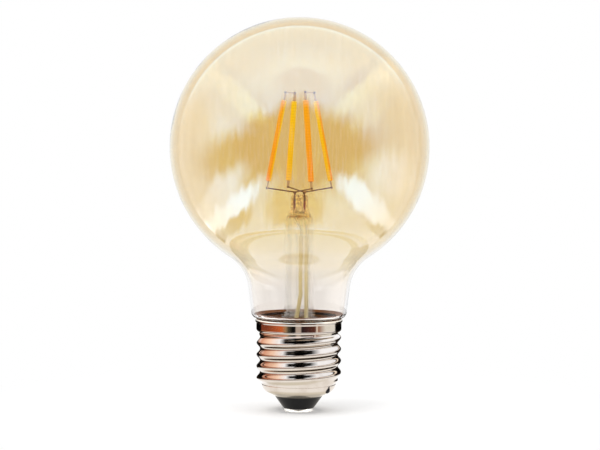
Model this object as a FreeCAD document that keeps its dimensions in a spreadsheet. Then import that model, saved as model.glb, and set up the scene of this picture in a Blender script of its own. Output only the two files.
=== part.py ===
"""LED filament globe bulb with an E27 screw cap.

Millimetres, +Z up along the bulb's axis. The origin is the bottom of the centre
contact, so the bulb stands cap down with its globe on top. The front is -Y.
"""

import FreeCAD, Part
import Sketcher
import math
import os

Vector = FreeCAD.Vector

# Driving sizes of the bulb, in millimetres and degrees
SIZES = {
    # Blown globe and its neck
    "globe_diameter": 80.0,
    "globe_wall": 0.8,
    "neck_length": 9.654,
    "neck_taper": 7.0,
    "neck_fillet_radius": 13.0,
    "foot_corner_radius": 1.8,
    "foot_overhang": 1.35,
    "seal_drop": 3.6,
    # Stem: flare, tube and the press that seals the leads
    "stem_diameter": 9.2,
    "stem_wall": 0.8,
    "stem_length": 35.8,
    "shoulder_drop": 2.5,
    "shoulder_radius": 2.0,
    "cavity_corner_radius": 1.6,
    "press_base_rise": 1.8,
    "press_height": 4.2,
    "press_width": 5.4,
    "press_depth": 4.2,
    "press_edge_radius": 0.9,
    "exhaust_diameter": 2.4,
    "exhaust_wall": 0.5,
    "exhaust_length": 26.5,
    # Leads through the press and down to the board
    "lead_diameter": 0.6,
    "lead_spacing": 2.9,
    "lead_forward": 1.2,
    "lead_rise": 0.6,
    "lead_bend_radius": 2.0,
    "outer_lead_seat": 1.5,
    "seal_wire_length": 2.5,
    "sleeve_diameter": 1.2,
    "sleeve_forward": 2.1,
    "sleeve_top_drop": 6.5,
    "sleeve_lift": 2.0,
    "left_sleeve_offset": 0.5,
    "left_sleeve_foot_offset": -1.0,
    "right_sleeve_offset": 2.2,
    "sleeve_bend_rise": 2.3,
    "sleeve_bend_length": 9.0,
    # Filament cage
    "filament_length": 25.2,
    "filament_width": 1.75,
    "filament_thickness": 1.5,
    "filament_end_radius": 0.35,
    "cage_foot_diameter": 20.4,
    "cage_top_diameter": 10.4,
    "cage_foot_rise": 4.2,
    "cage_angle": 20.0,
    "tab_width": 0.75,
    "tab_thickness": 0.25,
    "lower_tab_length": 2.5,
    "upper_tab_length": 3.0,
    "weld_inset": 0.4,
    "link_diameter": 0.3,
    "cross_wire_diameter": 0.42,
    "cross_wire_bend_radius": 0.8,
    # Screw cap
    "cap_height": 28.75,
    "collar_proud": 0.1,
    "collar_height": 4.1,
    "collar_edge_radius": 0.9,
    "lip_flare": 0.3,
    "lip_height": 1.0,
    "lip_edge_radius": 0.55,
    "thread_diameter": 26.2,
    "thread_depth": 1.05,
    "thread_pitch": 3.629,
    "thread_crest_rise": 3.6,
    "thread_run_out": 1.6,
    "thread_bite": 0.05,
    "shell_wall": 0.35,
    "dome_inset": 0.55,
    "dome_side_height": 0.125,
    "dome_angle": 26.0,
    "dome_corner_radius": 2.6,
    "dome_mouth_diameter": 15.0,
    "dome_mouth_height": 4.75,
    "cement_thickness": 0.4,
    "cement_bead": 0.1,
    "cement_spread": 0.4,
    "stake_angle": -36.0,
    "stake_width": 0.7,
    "stake_length": 2.0,
    "stake_drop": 1.1,
    # Insulator and centre contact
    "insulator_foot_diameter": 9.4,
    "insulator_shelf_height": 8.65,
    "contact_diameter": 8.8,
    "contact_thickness": 0.9,
    "contact_edge_radius": 0.7,
    "rivet_diameter": 2.8,
    "rivet_height": 5.0,
    # Driver on the insulator's shelf
    "board_thickness": 1.0,
    "board_clearance": 0.2,
    "capacitor_diameter": 6.3,
    "capacitor_height": 11.0,
    "capacitor_edge_radius": 0.5,
    "capacitor_across": 4.6,
    "capacitor_back": 4.4,
    "rectifier_length": 4.7,
    "rectifier_width": 3.9,
    "rectifier_height": 2.5,
    "rectifier_across": -5.2,
    "rectifier_back": 3.2,
    "chip_length": 4.5,
    "chip_width": 2.5,
    "chip_height": 1.5,
    "chip_across": -5.4,
    "chip_back": -4.6,
    "resistor_length": 2.0,
    "resistor_width": 1.25,
    "resistor_height": 0.55,
    "resistor_pitch": 2.2,
    "resistor_across": -1.6,
    "resistor_back": -7.4,
    "fuse_diameter": 2.4,
    "fuse_length": 6.5,
    "fuse_end_radius": 0.6,
    "fuse_across": 5.6,
    "fuse_back": -4.2,
    "service_wire_diameter": 0.6,
    "service_wire_rise": 0.8,
    "neutral_inset": 0.75,
    "neutral_bend_radius": 0.5,
}

# Level cuts in each pitch that the rolled thread is lofted through
CUTS_IN_PITCH = 12

# Filament places round the cage, as quarter turns from the first
QUARTERS = {"right": 0, "rear": 1, "left": 2, "front": 3}

doc = FreeCAD.newDocument("globe_bulb")
sheet = doc.addObject("Spreadsheet::Sheet", "sizes")
for row, (alias, number) in enumerate(SIZES.items(), start=1):
    sheet.set(f"A{row}", alias)
    sheet.set(f"B{row}", str(number))
    sheet.setAlias(f"B{row}", alias)
doc.recompute()

finished = {}


def size(alias):
    """Reads one driving size from the sheet."""
    return float(sheet.get(alias))


def bound(text):
    """Writes the aliases in an expression as references to the sheet."""
    words = []
    for word in text.split():
        bare = word.strip("()")
        words.append(word.replace(bare, f"sizes.{bare}") if bare in SIZES else word)
    return " ".join(words)


def value(text):
    """Works out an expression on the sheet's aliases."""
    return float(sheet.evalExpression(bound(text)))


def keep(piece, name):
    """Names a finished piece and puts it on the list of pieces to write."""
    piece.Label = name
    finished[name] = piece
    return piece


def boolean(kind, name, base, tool):
    """Joins, cuts or intersects two objects of the document."""
    result = doc.addObject(f"Part::{kind}", name)
    result.Base = base
    result.Tool = tool
    return result


def cut_all(name, base, tools):
    """Cuts several tools from one base, one after the other."""
    for number, tool in enumerate(tools, start=1):
        base = boolean("Cut", f"{name}_cut_{number}", base, tool)
    return base


def sketch_on(body, role):
    """Starts a sketch on one of a body's own origin planes."""
    sketch = body.newObject("Sketcher::SketchObject", f"{body.Name}_profile")
    plane = next(f for f in body.Origin.OriginFeatures if f.Role == role)
    sketch.AttachmentSupport = [(plane, "")]
    sketch.MapMode = "FlatFace"
    return sketch


def tie(sketch, kind, *where, text):
    """Adds a dimension to a sketch and binds it to an expression on the sheet."""
    number = sketch.addConstraint(Sketcher.Constraint(kind, *where, value(text)))
    sketch.setExpression(f"Constraints[{number}]", bound(text))


def place_vertex(sketch, edge, end, across, up):
    """Ties one end of an edge to its place across and up from the sketch's origin."""
    for text, axis, kind in ((across, -2, "DistanceX"), (up, -1, "DistanceY")):
        if text == "0":
            sketch.addConstraint(Sketcher.Constraint("PointOnObject", edge, end, axis))
        else:
            tie(sketch, kind, -1, 1, edge, end, text=text)


def revolve(body, sketch):
    """Turns a profile once round the bulb's axis."""
    turn = body.newObject("PartDesign::Revolution", f"{body.Name}_turn")
    turn.Profile = sketch
    turn.ReferenceAxis = (sketch, ["V_Axis"])
    turn.Angle = 360
    doc.recompute()
    return turn


def rim_names(shape, test):
    """Names the circular edges round Z whose radius and height pass a test."""
    names = []
    for number, edge in enumerate(shape.Edges, start=1):
        if edge.Degenerated:
            continue
        curve = edge.Curve
        if isinstance(curve, Part.Circle) and abs(curve.Axis.z) > 0.99:
            if test(curve.Radius, curve.Center.z):
                names.append(f"Edge{number}")
    return names


def round_rim(body, radius, across, up):
    """Rounds the edge of a turned body that lies at one radius and height."""
    far, high = value(across), value(up)
    found = rim_names(
        body.Tip.Shape, lambda r, z: abs(r - far) < 1e-4 and abs(z - high) < 1e-4
    )
    base = body.Tip
    fillet = body.newObject("PartDesign::Fillet", f"{body.Name}_rounding")
    fillet.Base = (base, found)
    fillet.setExpression("Radius", bound(radius))
    doc.recompute()


def turned(name, corners, rounded=()):
    """Makes a turned body from the corners of its profile.

    Args:
        name: the body's name.
        corners: across and up expressions in order, with a radius for an arc to
            the next corner that is hollow as seen from the axis.
        rounded: radius, across and up of each corner to round.

    Returns:
        The body.
    """
    body = doc.addObject("PartDesign::Body", name)
    sketch = sketch_on(body, "XZ_Plane")
    points = [Vector(value(c[0]), value(c[1]), 0) for c in corners]
    ends = []
    for number, corner in enumerate(corners):
        start, stop = points[number], points[(number + 1) % len(points)]
        if len(corner) == 2:
            sketch.addGeometry(Part.LineSegment(start, stop))
            ends.append((1, 2))
            continue
        radius = value(corner[2])
        chord = stop - start
        side = Vector(chord.y, -chord.x, 0).normalize()
        centre = (start + stop) * 0.5 + side * math.sqrt(radius**2 - chord.Length**2 / 4)
        circle = Part.Circle(centre, Vector(0, 0, 1), radius)
        angles = [math.atan2(p.y - centre.y, p.x - centre.x) for p in (stop, start)]
        sketch.addGeometry(Part.ArcOfCircle(circle, *angles))
        ends.append((2, 1))
    for number, corner in enumerate(corners):
        after = (number + 1) % len(corners)
        sketch.addConstraint(
            Sketcher.Constraint(
                "Coincident", number, ends[number][1], after, ends[after][0]
            )
        )
        place_vertex(sketch, number, ends[number][0], corner[0], corner[1])
        if len(corner) == 3:
            tie(sketch, "Radius", number, text=corner[2])
    revolve(body, sketch)
    for radius, across, up in rounded:
        round_rim(body, radius, across, up)
    return body


def set_place(piece, across="0", back="0", up="0"):
    """Binds the place of a piece to expressions on the sheet."""
    for axis, text in (("x", across), ("y", back), ("z", up)):
        if text != "0":
            piece.setExpression(f"Placement.Base.{axis}", bound(text))


def rod(name, diameter, foot, top, across="0", back="0"):
    """Makes an upright round rod between two heights."""
    cylinder = doc.addObject("Part::Cylinder", name)
    cylinder.setExpression("Radius", bound(f"{diameter} / 2"))
    cylinder.setExpression("Height", bound(f"( {top} ) - ( {foot} )"))
    set_place(cylinder, across, back, foot)
    return cylinder


def block(name, length, width, foot, height, across="0", back="0"):
    """Makes an upright block centred on a place, from its foot up."""
    box = doc.addObject("Part::Box", name)
    for side, text in (("Length", length), ("Width", width), ("Height", height)):
        box.setExpression(side, bound(text))
    set_place(
        box,
        f"( {across} ) - ( {length} ) / 2",
        f"( {back} ) - ( {width} ) / 2",
        foot,
    )
    return box


def bent_path(points, radius):
    """Joins points by straight runs and tangent arcs.

    Args:
        points: the corners of the route, as vectors.
        radius: bend radius, less where two runs leave too little room.

    Returns:
        The route as a wire.
    """
    edges = []
    here = points[0]
    for before, corner, after in zip(points, points[1:], points[2:]):
        back = (before - corner).normalize()
        ahead = (after - corner).normalize()
        turn = math.pi - back.getAngle(ahead)
        if turn < 1e-6:
            continue
        room = 0.45 * min((before - corner).Length, (after - corner).Length)
        reach = min(radius * math.tan(turn / 2), room)
        bend = reach / math.tan(turn / 2)
        start, stop = corner + back * reach, corner + ahead * reach
        inward = (back + ahead).normalize()
        middle = corner + inward * (bend / math.cos(turn / 2) - bend)
        edges.append(Part.LineSegment(here, start).toShape())
        edges.append(Part.Arc(start, middle, stop).toShape())
        here = stop
    edges.append(Part.LineSegment(here, points[-1]).toShape())
    return Part.Wire(edges)


def bent_wire(name, diameter, points, radius):
    """Sweeps a round wire along a bent route."""
    route = doc.addObject("Part::Feature", f"{name}_route")
    route.Shape = bent_path(points, radius)
    section = doc.addObject("Part::Circle", f"{name}_section")
    section.setExpression("Radius", bound(f"{diameter} / 2"))
    along = (points[1] - points[0]).normalize()
    section.Placement = FreeCAD.Placement(
        points[0], FreeCAD.Rotation(Vector(0, 0, 1), along)
    )
    sweep = doc.addObject("Part::Sweep", name)
    sweep.Sections = [section]
    sweep.Spine = (route, [f"Edge{n + 1}" for n in range(len(route.Shape.Edges))])
    sweep.Solid = True
    sweep.Frenet = False
    return sweep


# Lines that several pieces share, each worked out from the one that carries it
ROOT = "thread_diameter / 2 - thread_depth"
BORE = f"{ROOT} - shell_wall"
COLLAR = "thread_diameter / 2 + collar_proud"
COLLAR_BORE = f"{COLLAR} - shell_wall"
COLLAR_FOOT = "cap_height - collar_height"
DOME = f"{ROOT} - dome_inset"
DOME_BORE = f"{DOME} - shell_wall"
MOUTH = "dome_mouth_diameter / 2"
DOME_RISE = "tan( dome_angle * 1 deg )"
DOME_CORNER = f"dome_mouth_height + ( {DOME} - {MOUTH} ) * {DOME_RISE}"
DOME_ROUND = "dome_corner_radius * tan( ( 90 - dome_angle ) / 2 * 1 deg )"
SHEET_RISE = "shell_wall / cos( dome_angle * 1 deg )"
BORE_MOUTH = f"dome_mouth_height + {SHEET_RISE}"
BORE_CORNER = f"{BORE_MOUTH} + ( {DOME_BORE} - {MOUTH} ) * {DOME_RISE}"
BORE_CORNER_RADIUS = "dome_corner_radius - shell_wall"
THREAD_FOOT = f"{DOME_CORNER} + {DOME_ROUND} + dome_side_height"
THREAD_START = f"{DOME} - thread_bite"
STAKE = f"{THREAD_FOOT} - stake_drop"
BOARD_TOP = "insulator_shelf_height + board_thickness"
FOOT = "cap_height + cement_bead"
SEAL = f"{COLLAR_BORE} - cement_thickness"
SEAL_END = "cap_height - seal_drop"
NECK_FOOT = f"{COLLAR} + foot_overhang"
LEAN = "neck_taper * 1 deg"
FOOT_CORNER = f"{NECK_FOOT} - foot_corner_radius * ( 1 - sin( {LEAN} ) ) / cos( {LEAN} )"
BEAD = f"{FOOT_CORNER} + cement_spread"
BEAD_TOP = f"{FOOT} + foot_corner_radius - sqrt( foot_corner_radius ^ 2 - cement_spread ^ 2 )"
LIP = f"{COLLAR} + lip_flare"
THROAT_OUT = f"{NECK_FOOT} + neck_length * sin( {LEAN} ) + neck_fillet_radius * cos( {LEAN} )"
THROAT_UP = f"{FOOT} + neck_length * cos( {LEAN} ) - neck_fillet_radius * sin( {LEAN} )"
THROAT_REACH = "globe_diameter / 2 + neck_fillet_radius"
GLOBE_UP = f"{THROAT_UP} + sqrt( ( {THROAT_REACH} ) ^ 2 - ( {THROAT_OUT} ) ^ 2 )"
FLARE = f"{SEAL} - globe_wall"
FLARE_BEND = f"{FLARE} - stem_diameter / 2"
FLARE_TOP = f"{SEAL_END} + stem_wall + {FLARE_BEND}"
TUBE_BORE = "stem_diameter / 2 - stem_wall"
CAVITY_TOP = f"{SEAL_END} + stem_length"
SHOULDER = f"{CAVITY_TOP} - shoulder_drop"
PRESS_BASE = f"{CAVITY_TOP} + press_base_rise"
PRESS_TOP = f"{PRESS_BASE} + press_height"
EXHAUST_TIP = f"{CAVITY_TOP} - exhaust_length"
SLEEVE_BEND_FOOT = f"{SEAL_END} + sleeve_bend_rise"
SLEEVE_BEND_TOP = f"{SLEEVE_BEND_FOOT} + sleeve_bend_length"
LEAD_FRONT = "0 - lead_forward"
LEAD_TOP = f"{PRESS_TOP} + lead_rise"
CAGE_FOOT = f"{PRESS_TOP} + cage_foot_rise"


def blown_body(name, inset, foot_end):
    """Turns one face of the blown glass: globe, throat, neck, foot and seal skirt.

    Args:
        name: the body's name.
        inset: how far this face lies inside the glass's outer face.
        foot_end: height of the lower end of the skirt.

    Returns:
        The body, solid inside this face.
    """
    globe_radius = f"globe_diameter / 2 - {inset}"
    throat_radius = f"neck_fillet_radius + {inset}"
    corner_radius = f"foot_corner_radius - {inset}"
    neck_foot = f"{NECK_FOOT} - {inset} / cos( {LEAN} )"
    foot = f"{FOOT} + {inset}"
    skirt = f"{SEAL} - {inset}"
    lean = math.radians(size("neck_taper"))
    up_neck = Vector(math.sin(lean), math.cos(lean), 0)
    outward = Vector(math.cos(lean), -math.sin(lean), 0)
    neck_point = Vector(value(neck_foot), value(FOOT), 0)

    # The throat touches both the globe and the neck line
    globe_centre = Vector(0, value(GLOBE_UP), 0)
    throat_centre = Vector(value(THROAT_OUT), value(THROAT_UP), 0)
    neck_top = throat_centre - outward * value(throat_radius)
    share = value(globe_radius) / value(THROAT_REACH)
    globe_foot = globe_centre + (throat_centre - globe_centre) * share

    # The corner's centre is one corner radius inside the neck line and above the foot
    inner = neck_point - outward * value(corner_radius)
    lift = (value(foot) + value(corner_radius) - inner.y) / up_neck.y
    corner_centre = inner + up_neck * lift
    neck_end = corner_centre + outward * value(corner_radius)
    foot_end_point = Vector(corner_centre.x, value(foot), 0)
    skirt_top = Vector(value(skirt), value(foot), 0)
    skirt_end = Vector(value(skirt), value(foot_end), 0)
    middle = Vector(0, value(foot_end), 0)
    crown = globe_centre + Vector(0, value(globe_radius), 0)

    body = doc.addObject("PartDesign::Body", name)
    sketch = sketch_on(body, "XZ_Plane")

    def arc(centre, radius, start, stop):
        """Adds an arc that runs anticlockwise from one point to another."""
        angles = [math.atan2(p.y - centre.y, p.x - centre.x) for p in (start, stop)]
        circle = Part.Circle(centre, Vector(0, 0, 1), value(radius))
        number = sketch.addGeometry(Part.ArcOfCircle(circle, *angles))
        tie(sketch, "Radius", number, text=radius)
        return number

    def line(start, stop):
        """Adds a straight edge."""
        return sketch.addGeometry(Part.LineSegment(start, stop))

    def join(kind, *ends):
        """Adds a constraint between edges or their ends."""
        sketch.addConstraint(Sketcher.Constraint(kind, *ends))

    globe = arc(globe_centre, globe_radius, globe_foot, crown)
    throat = arc(throat_centre, throat_radius, globe_foot, neck_top)
    neck = line(neck_end, neck_top)
    corner = arc(corner_centre, corner_radius, foot_end_point, neck_end)
    flat = line(foot_end_point, skirt_top)
    side = line(skirt_top, skirt_end)
    disc = line(skirt_end, middle)
    axis = line(middle, crown)
    virtual = sketch.addGeometry(Part.Point(neck_point), True)
    join("Tangent", globe, 1, throat, 1)
    join("Tangent", throat, 2, neck, 2)
    join("Tangent", neck, 1, corner, 2)
    join("Tangent", corner, 1, flat, 1)
    join("Coincident", flat, 2, side, 1)
    join("Coincident", side, 2, disc, 1)
    join("Coincident", disc, 2, axis, 1)
    join("Coincident", axis, 2, globe, 2)
    join("PointOnObject", globe, 2, -2)
    join("PointOnObject", virtual, 1, neck)
    join("Horizontal", flat)
    join("Vertical", side)
    join("Horizontal", disc)
    join("PointOnObject", disc, 2, -2)
    place_vertex(sketch, globe, 3, "0", GLOBE_UP)
    place_vertex(sketch, virtual, 1, neck_foot, FOOT)
    place_vertex(sketch, side, 1, skirt, foot)
    tie(sketch, "DistanceY", -1, 1, side, 2, text=foot_end)
    upright = sketch.addConstraint(Sketcher.Constraint("Angle", neck, math.pi / 2 - lean))
    sketch.setExpression(f"Constraints[{upright}]", bound("( 90 - neck_taper ) * 1 deg"))
    revolve(body, sketch)
    return body


def make_globe():
    """Makes the blown globe with its neck and seal skirt, one wall thick all over."""
    outside = blown_body("globe_outside", "0", SEAL_END)
    inside = blown_body("globe_inside", "globe_wall", f"{SEAL_END} - globe_wall")
    keep(boolean("Cut", "globe_glass", outside, inside), "globe_glass")


def make_stem():
    """Makes the stem: flare, tube and press in one piece of glass, and its exhaust tube."""
    blank = turned(
        "stem_blank",
        [
            ("0", SEAL_END),
            (FLARE, SEAL_END),
            (FLARE, f"{SEAL_END} + stem_wall", FLARE_BEND),
            ("stem_diameter / 2", FLARE_TOP),
            ("stem_diameter / 2", SHOULDER),
            ("press_width / 2", PRESS_BASE),
            ("press_width / 2", PRESS_TOP),
            ("0", PRESS_TOP),
        ],
        [
            ("shoulder_radius", "stem_diameter / 2", SHOULDER),
            ("shoulder_radius", "press_width / 2", PRESS_BASE),
            ("press_edge_radius", "press_width / 2", PRESS_TOP),
        ],
    )
    cavity = turned(
        "stem_cavity",
        [
            ("0", SEAL_END),
            (FLARE, SEAL_END, f"{FLARE_BEND} + stem_wall"),
            (TUBE_BORE, FLARE_TOP),
            (TUBE_BORE, CAVITY_TOP),
            ("0", CAVITY_TOP),
        ],
        [("cavity_corner_radius", TUBE_BORE, CAVITY_TOP)],
    )
    jaws = []
    for side, sign in (("front", "0 - 1"), ("back", "1")):
        reach = "( press_depth + stem_diameter ) / 2"
        jaws.append(
            block(
                f"press_jaw_{side}",
                "stem_diameter",
                "stem_diameter",
                PRESS_BASE,
                "stem_diameter",
                back=f"( {sign} ) * {reach}",
            )
        )
    bores = []
    for side, across in (("left", "0 - lead_spacing / 2"), ("right", "lead_spacing / 2")):
        bores.append(
            rod(
                f"lead_bore_{side}",
                "lead_diameter",
                f"{CAVITY_TOP} - lead_diameter",
                f"{PRESS_TOP} + lead_diameter",
                across,
                LEAD_FRONT,
            )
        )
    keep(cut_all("stem", blank, [cavity, *jaws, *bores]), "stem_glass")
    bore = "exhaust_diameter / 2 - exhaust_wall"
    tube = turned(
        "exhaust_tube",
        [
            ("0", EXHAUST_TIP),
            ("exhaust_diameter / 2", EXHAUST_TIP),
            ("exhaust_diameter / 2", CAVITY_TOP),
            (bore, CAVITY_TOP),
            (bore, f"{EXHAUST_TIP} + exhaust_wall * 2"),
            ("0", f"{EXHAUST_TIP} + exhaust_wall * 2"),
        ],
        [("exhaust_diameter / 2 - exhaust_wall / 2", "exhaust_diameter / 2", EXHAUST_TIP)],
    )
    keep(tube, "exhaust_tube")


def make_leads():
    """Makes each lead: wire above the press, seal wire in it, sleeved wire below."""
    weld_low = f"{CAVITY_TOP} + outer_lead_seat"
    weld_high = f"{weld_low} + seal_wire_length"
    rows = (
        ("left", "-", "left_sleeve_offset", "left_sleeve_foot_offset"),
        ("right", "+", "right_sleeve_offset", "right_sleeve_offset"),
    )
    for side, sign, sleeve, sleeve_foot in rows:
        across = f"0 {sign} lead_spacing / 2"
        inner = rod(
            f"inner_lead_{side}",
            "lead_diameter",
            weld_high,
            LEAD_TOP,
            across,
            LEAD_FRONT,
        )
        keep(inner, f"inner_lead_{side}")
        seal = rod(
            f"seal_wire_{side}", "lead_diameter", weld_low, weld_high, across, LEAD_FRONT
        )
        keep(seal, f"seal_wire_{side}")
        lead = Vector(value(across), value(LEAD_FRONT), value(weld_low))
        front = -size("sleeve_forward")
        sleeve_top = value(CAVITY_TOP) - size("sleeve_top_drop")
        bend_below = value(CAVITY_TOP) - size("lead_bend_radius") / 2
        bend_above = sleeve_top + size("lead_bend_radius")
        upper, lower = size(sleeve), size(sleeve_foot)
        corners = [
            lead,
            Vector(lead.x, lead.y, bend_below),
            Vector(upper, front, bend_above),
            Vector(upper, front, value(SLEEVE_BEND_TOP)),
            Vector(lower, front, value(SLEEVE_BEND_FOOT)),
            Vector(lower, front, size("insulator_shelf_height")),
        ]
        wire = bent_wire(
            f"outer_lead_{side}", "lead_diameter", corners, size("lead_bend_radius")
        )
        keep(wire, f"outer_lead_{side}")
        sleeve_run = [Vector(upper, front, sleeve_top), *corners[3:5]]
        sleeve_run.append(Vector(lower, front, value(BOARD_TOP) + size("sleeve_lift")))
        tube = bent_wire(
            f"sleeve_{side}_tube", "sleeve_diameter", sleeve_run, size("lead_bend_radius")
        )
        keep(boolean("Cut", f"lead_sleeve_{side}", tube, wire), f"lead_sleeve_{side}")


def filament_frame(quarter):
    """Gives the place of a filament's foot, with Z along it and X across its face."""
    lean = math.asin(
        (size("cage_foot_diameter") - size("cage_top_diameter"))
        / (2 * size("filament_length"))
    )
    azimuth = size("cage_angle") + 90 * quarter
    out = size("cage_foot_diameter") / 2
    stand = FreeCAD.Placement(
        Vector(out, 0, value(CAGE_FOOT)),
        FreeCAD.Rotation(Vector(0, 1, 0), -math.degrees(lean)),
    )
    return FreeCAD.Placement(
        Vector(0, 0, 0), FreeCAD.Rotation(Vector(0, 0, 1), azimuth)
    ).multiply(stand)


def make_filament(name, quarter):
    """Makes one coated strip with a metal tab at each end."""
    frame = filament_frame(quarter)
    body = doc.addObject("PartDesign::Body", f"filament_{name}")
    sketch = sketch_on(body, "XY_Plane")
    thick, wide = size("filament_thickness") / 2, size("filament_width") / 2
    flat = wide - thick
    sketch.addGeometry(Part.LineSegment(Vector(thick, -flat, 0), Vector(thick, flat, 0)))
    sketch.addGeometry(
        Part.ArcOfCircle(Part.Circle(Vector(0, flat, 0), Vector(0, 0, 1), thick), 0, math.pi)
    )
    sketch.addGeometry(Part.LineSegment(Vector(-thick, flat, 0), Vector(-thick, -flat, 0)))
    sketch.addGeometry(
        Part.ArcOfCircle(
            Part.Circle(Vector(0, -flat, 0), Vector(0, 0, 1), thick), math.pi, 2 * math.pi
        )
    )
    for edge in range(4):
        after = (edge + 1) % 4
        sketch.addConstraint(Sketcher.Constraint("Tangent", edge, 2, after, 1))
    sketch.addConstraint(Sketcher.Constraint("PointOnObject", 1, 3, -2))
    sketch.addConstraint(Sketcher.Constraint("Symmetric", 1, 3, 3, 3, -1, 1))
    tie(sketch, "Radius", 1, text="filament_thickness / 2")
    tie(sketch, "DistanceY", 3, 3, 1, 3, text="filament_width - filament_thickness")
    pad = body.newObject("PartDesign::Pad", f"filament_{name}_coat")
    pad.Profile = sketch
    pad.setExpression("Length", bound("filament_length"))
    doc.recompute()
    ends = [
        f"Edge{n}"
        for n, edge in enumerate(pad.Shape.Edges, start=1)
        if edge.BoundBox.ZLength < 1e-4
    ]
    fillet = body.newObject("PartDesign::Fillet", f"filament_{name}_ends")
    fillet.Base = (pad, ends)
    fillet.setExpression("Radius", bound("filament_end_radius"))
    body.Placement = frame
    keep(body, f"filament_{name}")
    for end, length, start in (
        ("upper", "upper_tab_length", size("filament_length")),
        ("lower", "lower_tab_length", -size("lower_tab_length")),
    ):
        tab = doc.addObject("Part::Box", f"{end}_tab_{name}")
        tab.setExpression("Length", bound("tab_thickness"))
        tab.setExpression("Width", bound("tab_width"))
        tab.setExpression("Height", bound(length))
        corner = Vector(-size("tab_thickness") / 2, -size("tab_width") / 2, start)
        tab.Placement = frame.multiply(FreeCAD.Placement(corner, FreeCAD.Rotation()))
        keep(tab, f"{end}_tab_{name}")


def tab_point(name, end):
    """Gives the weld point on the inner face of a tab, near its tip."""
    inset = size("weld_inset")
    if end == "upper":
        along = size("filament_length") + size("upper_tab_length") - inset
    else:
        along = inset - size("lower_tab_length")
    inner_face = -size("tab_thickness") / 2
    return filament_frame(QUARTERS[name]).multVec(Vector(inner_face, 0, along))


def make_cage_wires():
    """Links the filament tops in pairs and ties their feet to the two leads."""
    for first, second in (("left", "rear"), ("front", "right")):
        ends = [tab_point(first, "upper"), tab_point(second, "upper")]
        name = f"top_link_{first}"
        wire = bent_wire(f"{name}_wire", "link_diameter", ends, 0)
        tabs = [finished[f"upper_tab_{place}"] for place in (first, second)]
        keep(cut_all(name, wire, tabs), name)
    for first, second, side, sign in (
        ("left", "front", "left", -1),
        ("rear", "right", "right", 1),
    ):
        start, stop = tab_point(first, "lower"), tab_point(second, "lower")
        top = value(LEAD_TOP)
        over = Vector(
            sign * size("lead_spacing") / 2,
            value(LEAD_FRONT),
            top + size("cross_wire_diameter") / 2,
        )
        bend = size("cross_wire_bend_radius")
        back, ahead = (start - over).normalize(), (stop - over).normalize()
        turn = math.pi - back.getAngle(ahead)
        stand_out = (back + ahead).normalize() * (bend / math.cos(turn / 2) - bend)
        corner = over - Vector(stand_out.x, stand_out.y, 0)
        name = f"cross_wire_{side}"
        wire = bent_wire(f"{name}_wire", "cross_wire_diameter", [start, corner, stop], bend)
        tabs = [finished[f"lower_tab_{place}"] for place in (first, second)]
        keep(cut_all(name, wire, [*tabs, finished[f"inner_lead_{side}"]]), name)


def ease(share):
    """Runs smoothly from 0 to 1."""
    share = min(max(share, 0.0), 1.0)
    return share * share * (3 - 2 * share)


def thread_core(foot, top):
    """Lofts the right-handed rolled thread through level cuts.

    A level cut through the rounded thread is a circle set off the axis by half the
    thread's depth, towards the crest. It goes round once in each pitch of height.
    At the foot the thread runs out into the dome, and at the top into its own root.
    """
    pitch, run_out = size("thread_pitch"), size("thread_run_out")
    mean = (size("thread_diameter") - size("thread_depth")) / 2
    cuts = math.ceil((top - foot) / pitch * CUTS_IN_PITCH)
    rings = []
    for cut in range(cuts + 1):
        height = foot + (top - foot) * cut / cuts
        below, above = (height - foot) / run_out, (top - height) / run_out
        full = ease(below) * ease(above)
        end_radius = value(THREAD_START) if below < above else value(ROOT)
        radius = end_radius + (mean - end_radius) * full
        set_off = size("thread_depth") / 2 * full
        angle = 2 * math.pi * (height - foot - size("thread_crest_rise")) / pitch
        centre = Vector(set_off * math.cos(angle), set_off * math.sin(angle), height)
        circle = Part.Circle(centre, Vector(0, 0, 1), radius)
        rings.append(Part.Wire(circle.toShape()))
    return Part.makeLoft(rings, True, False, False)


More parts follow.
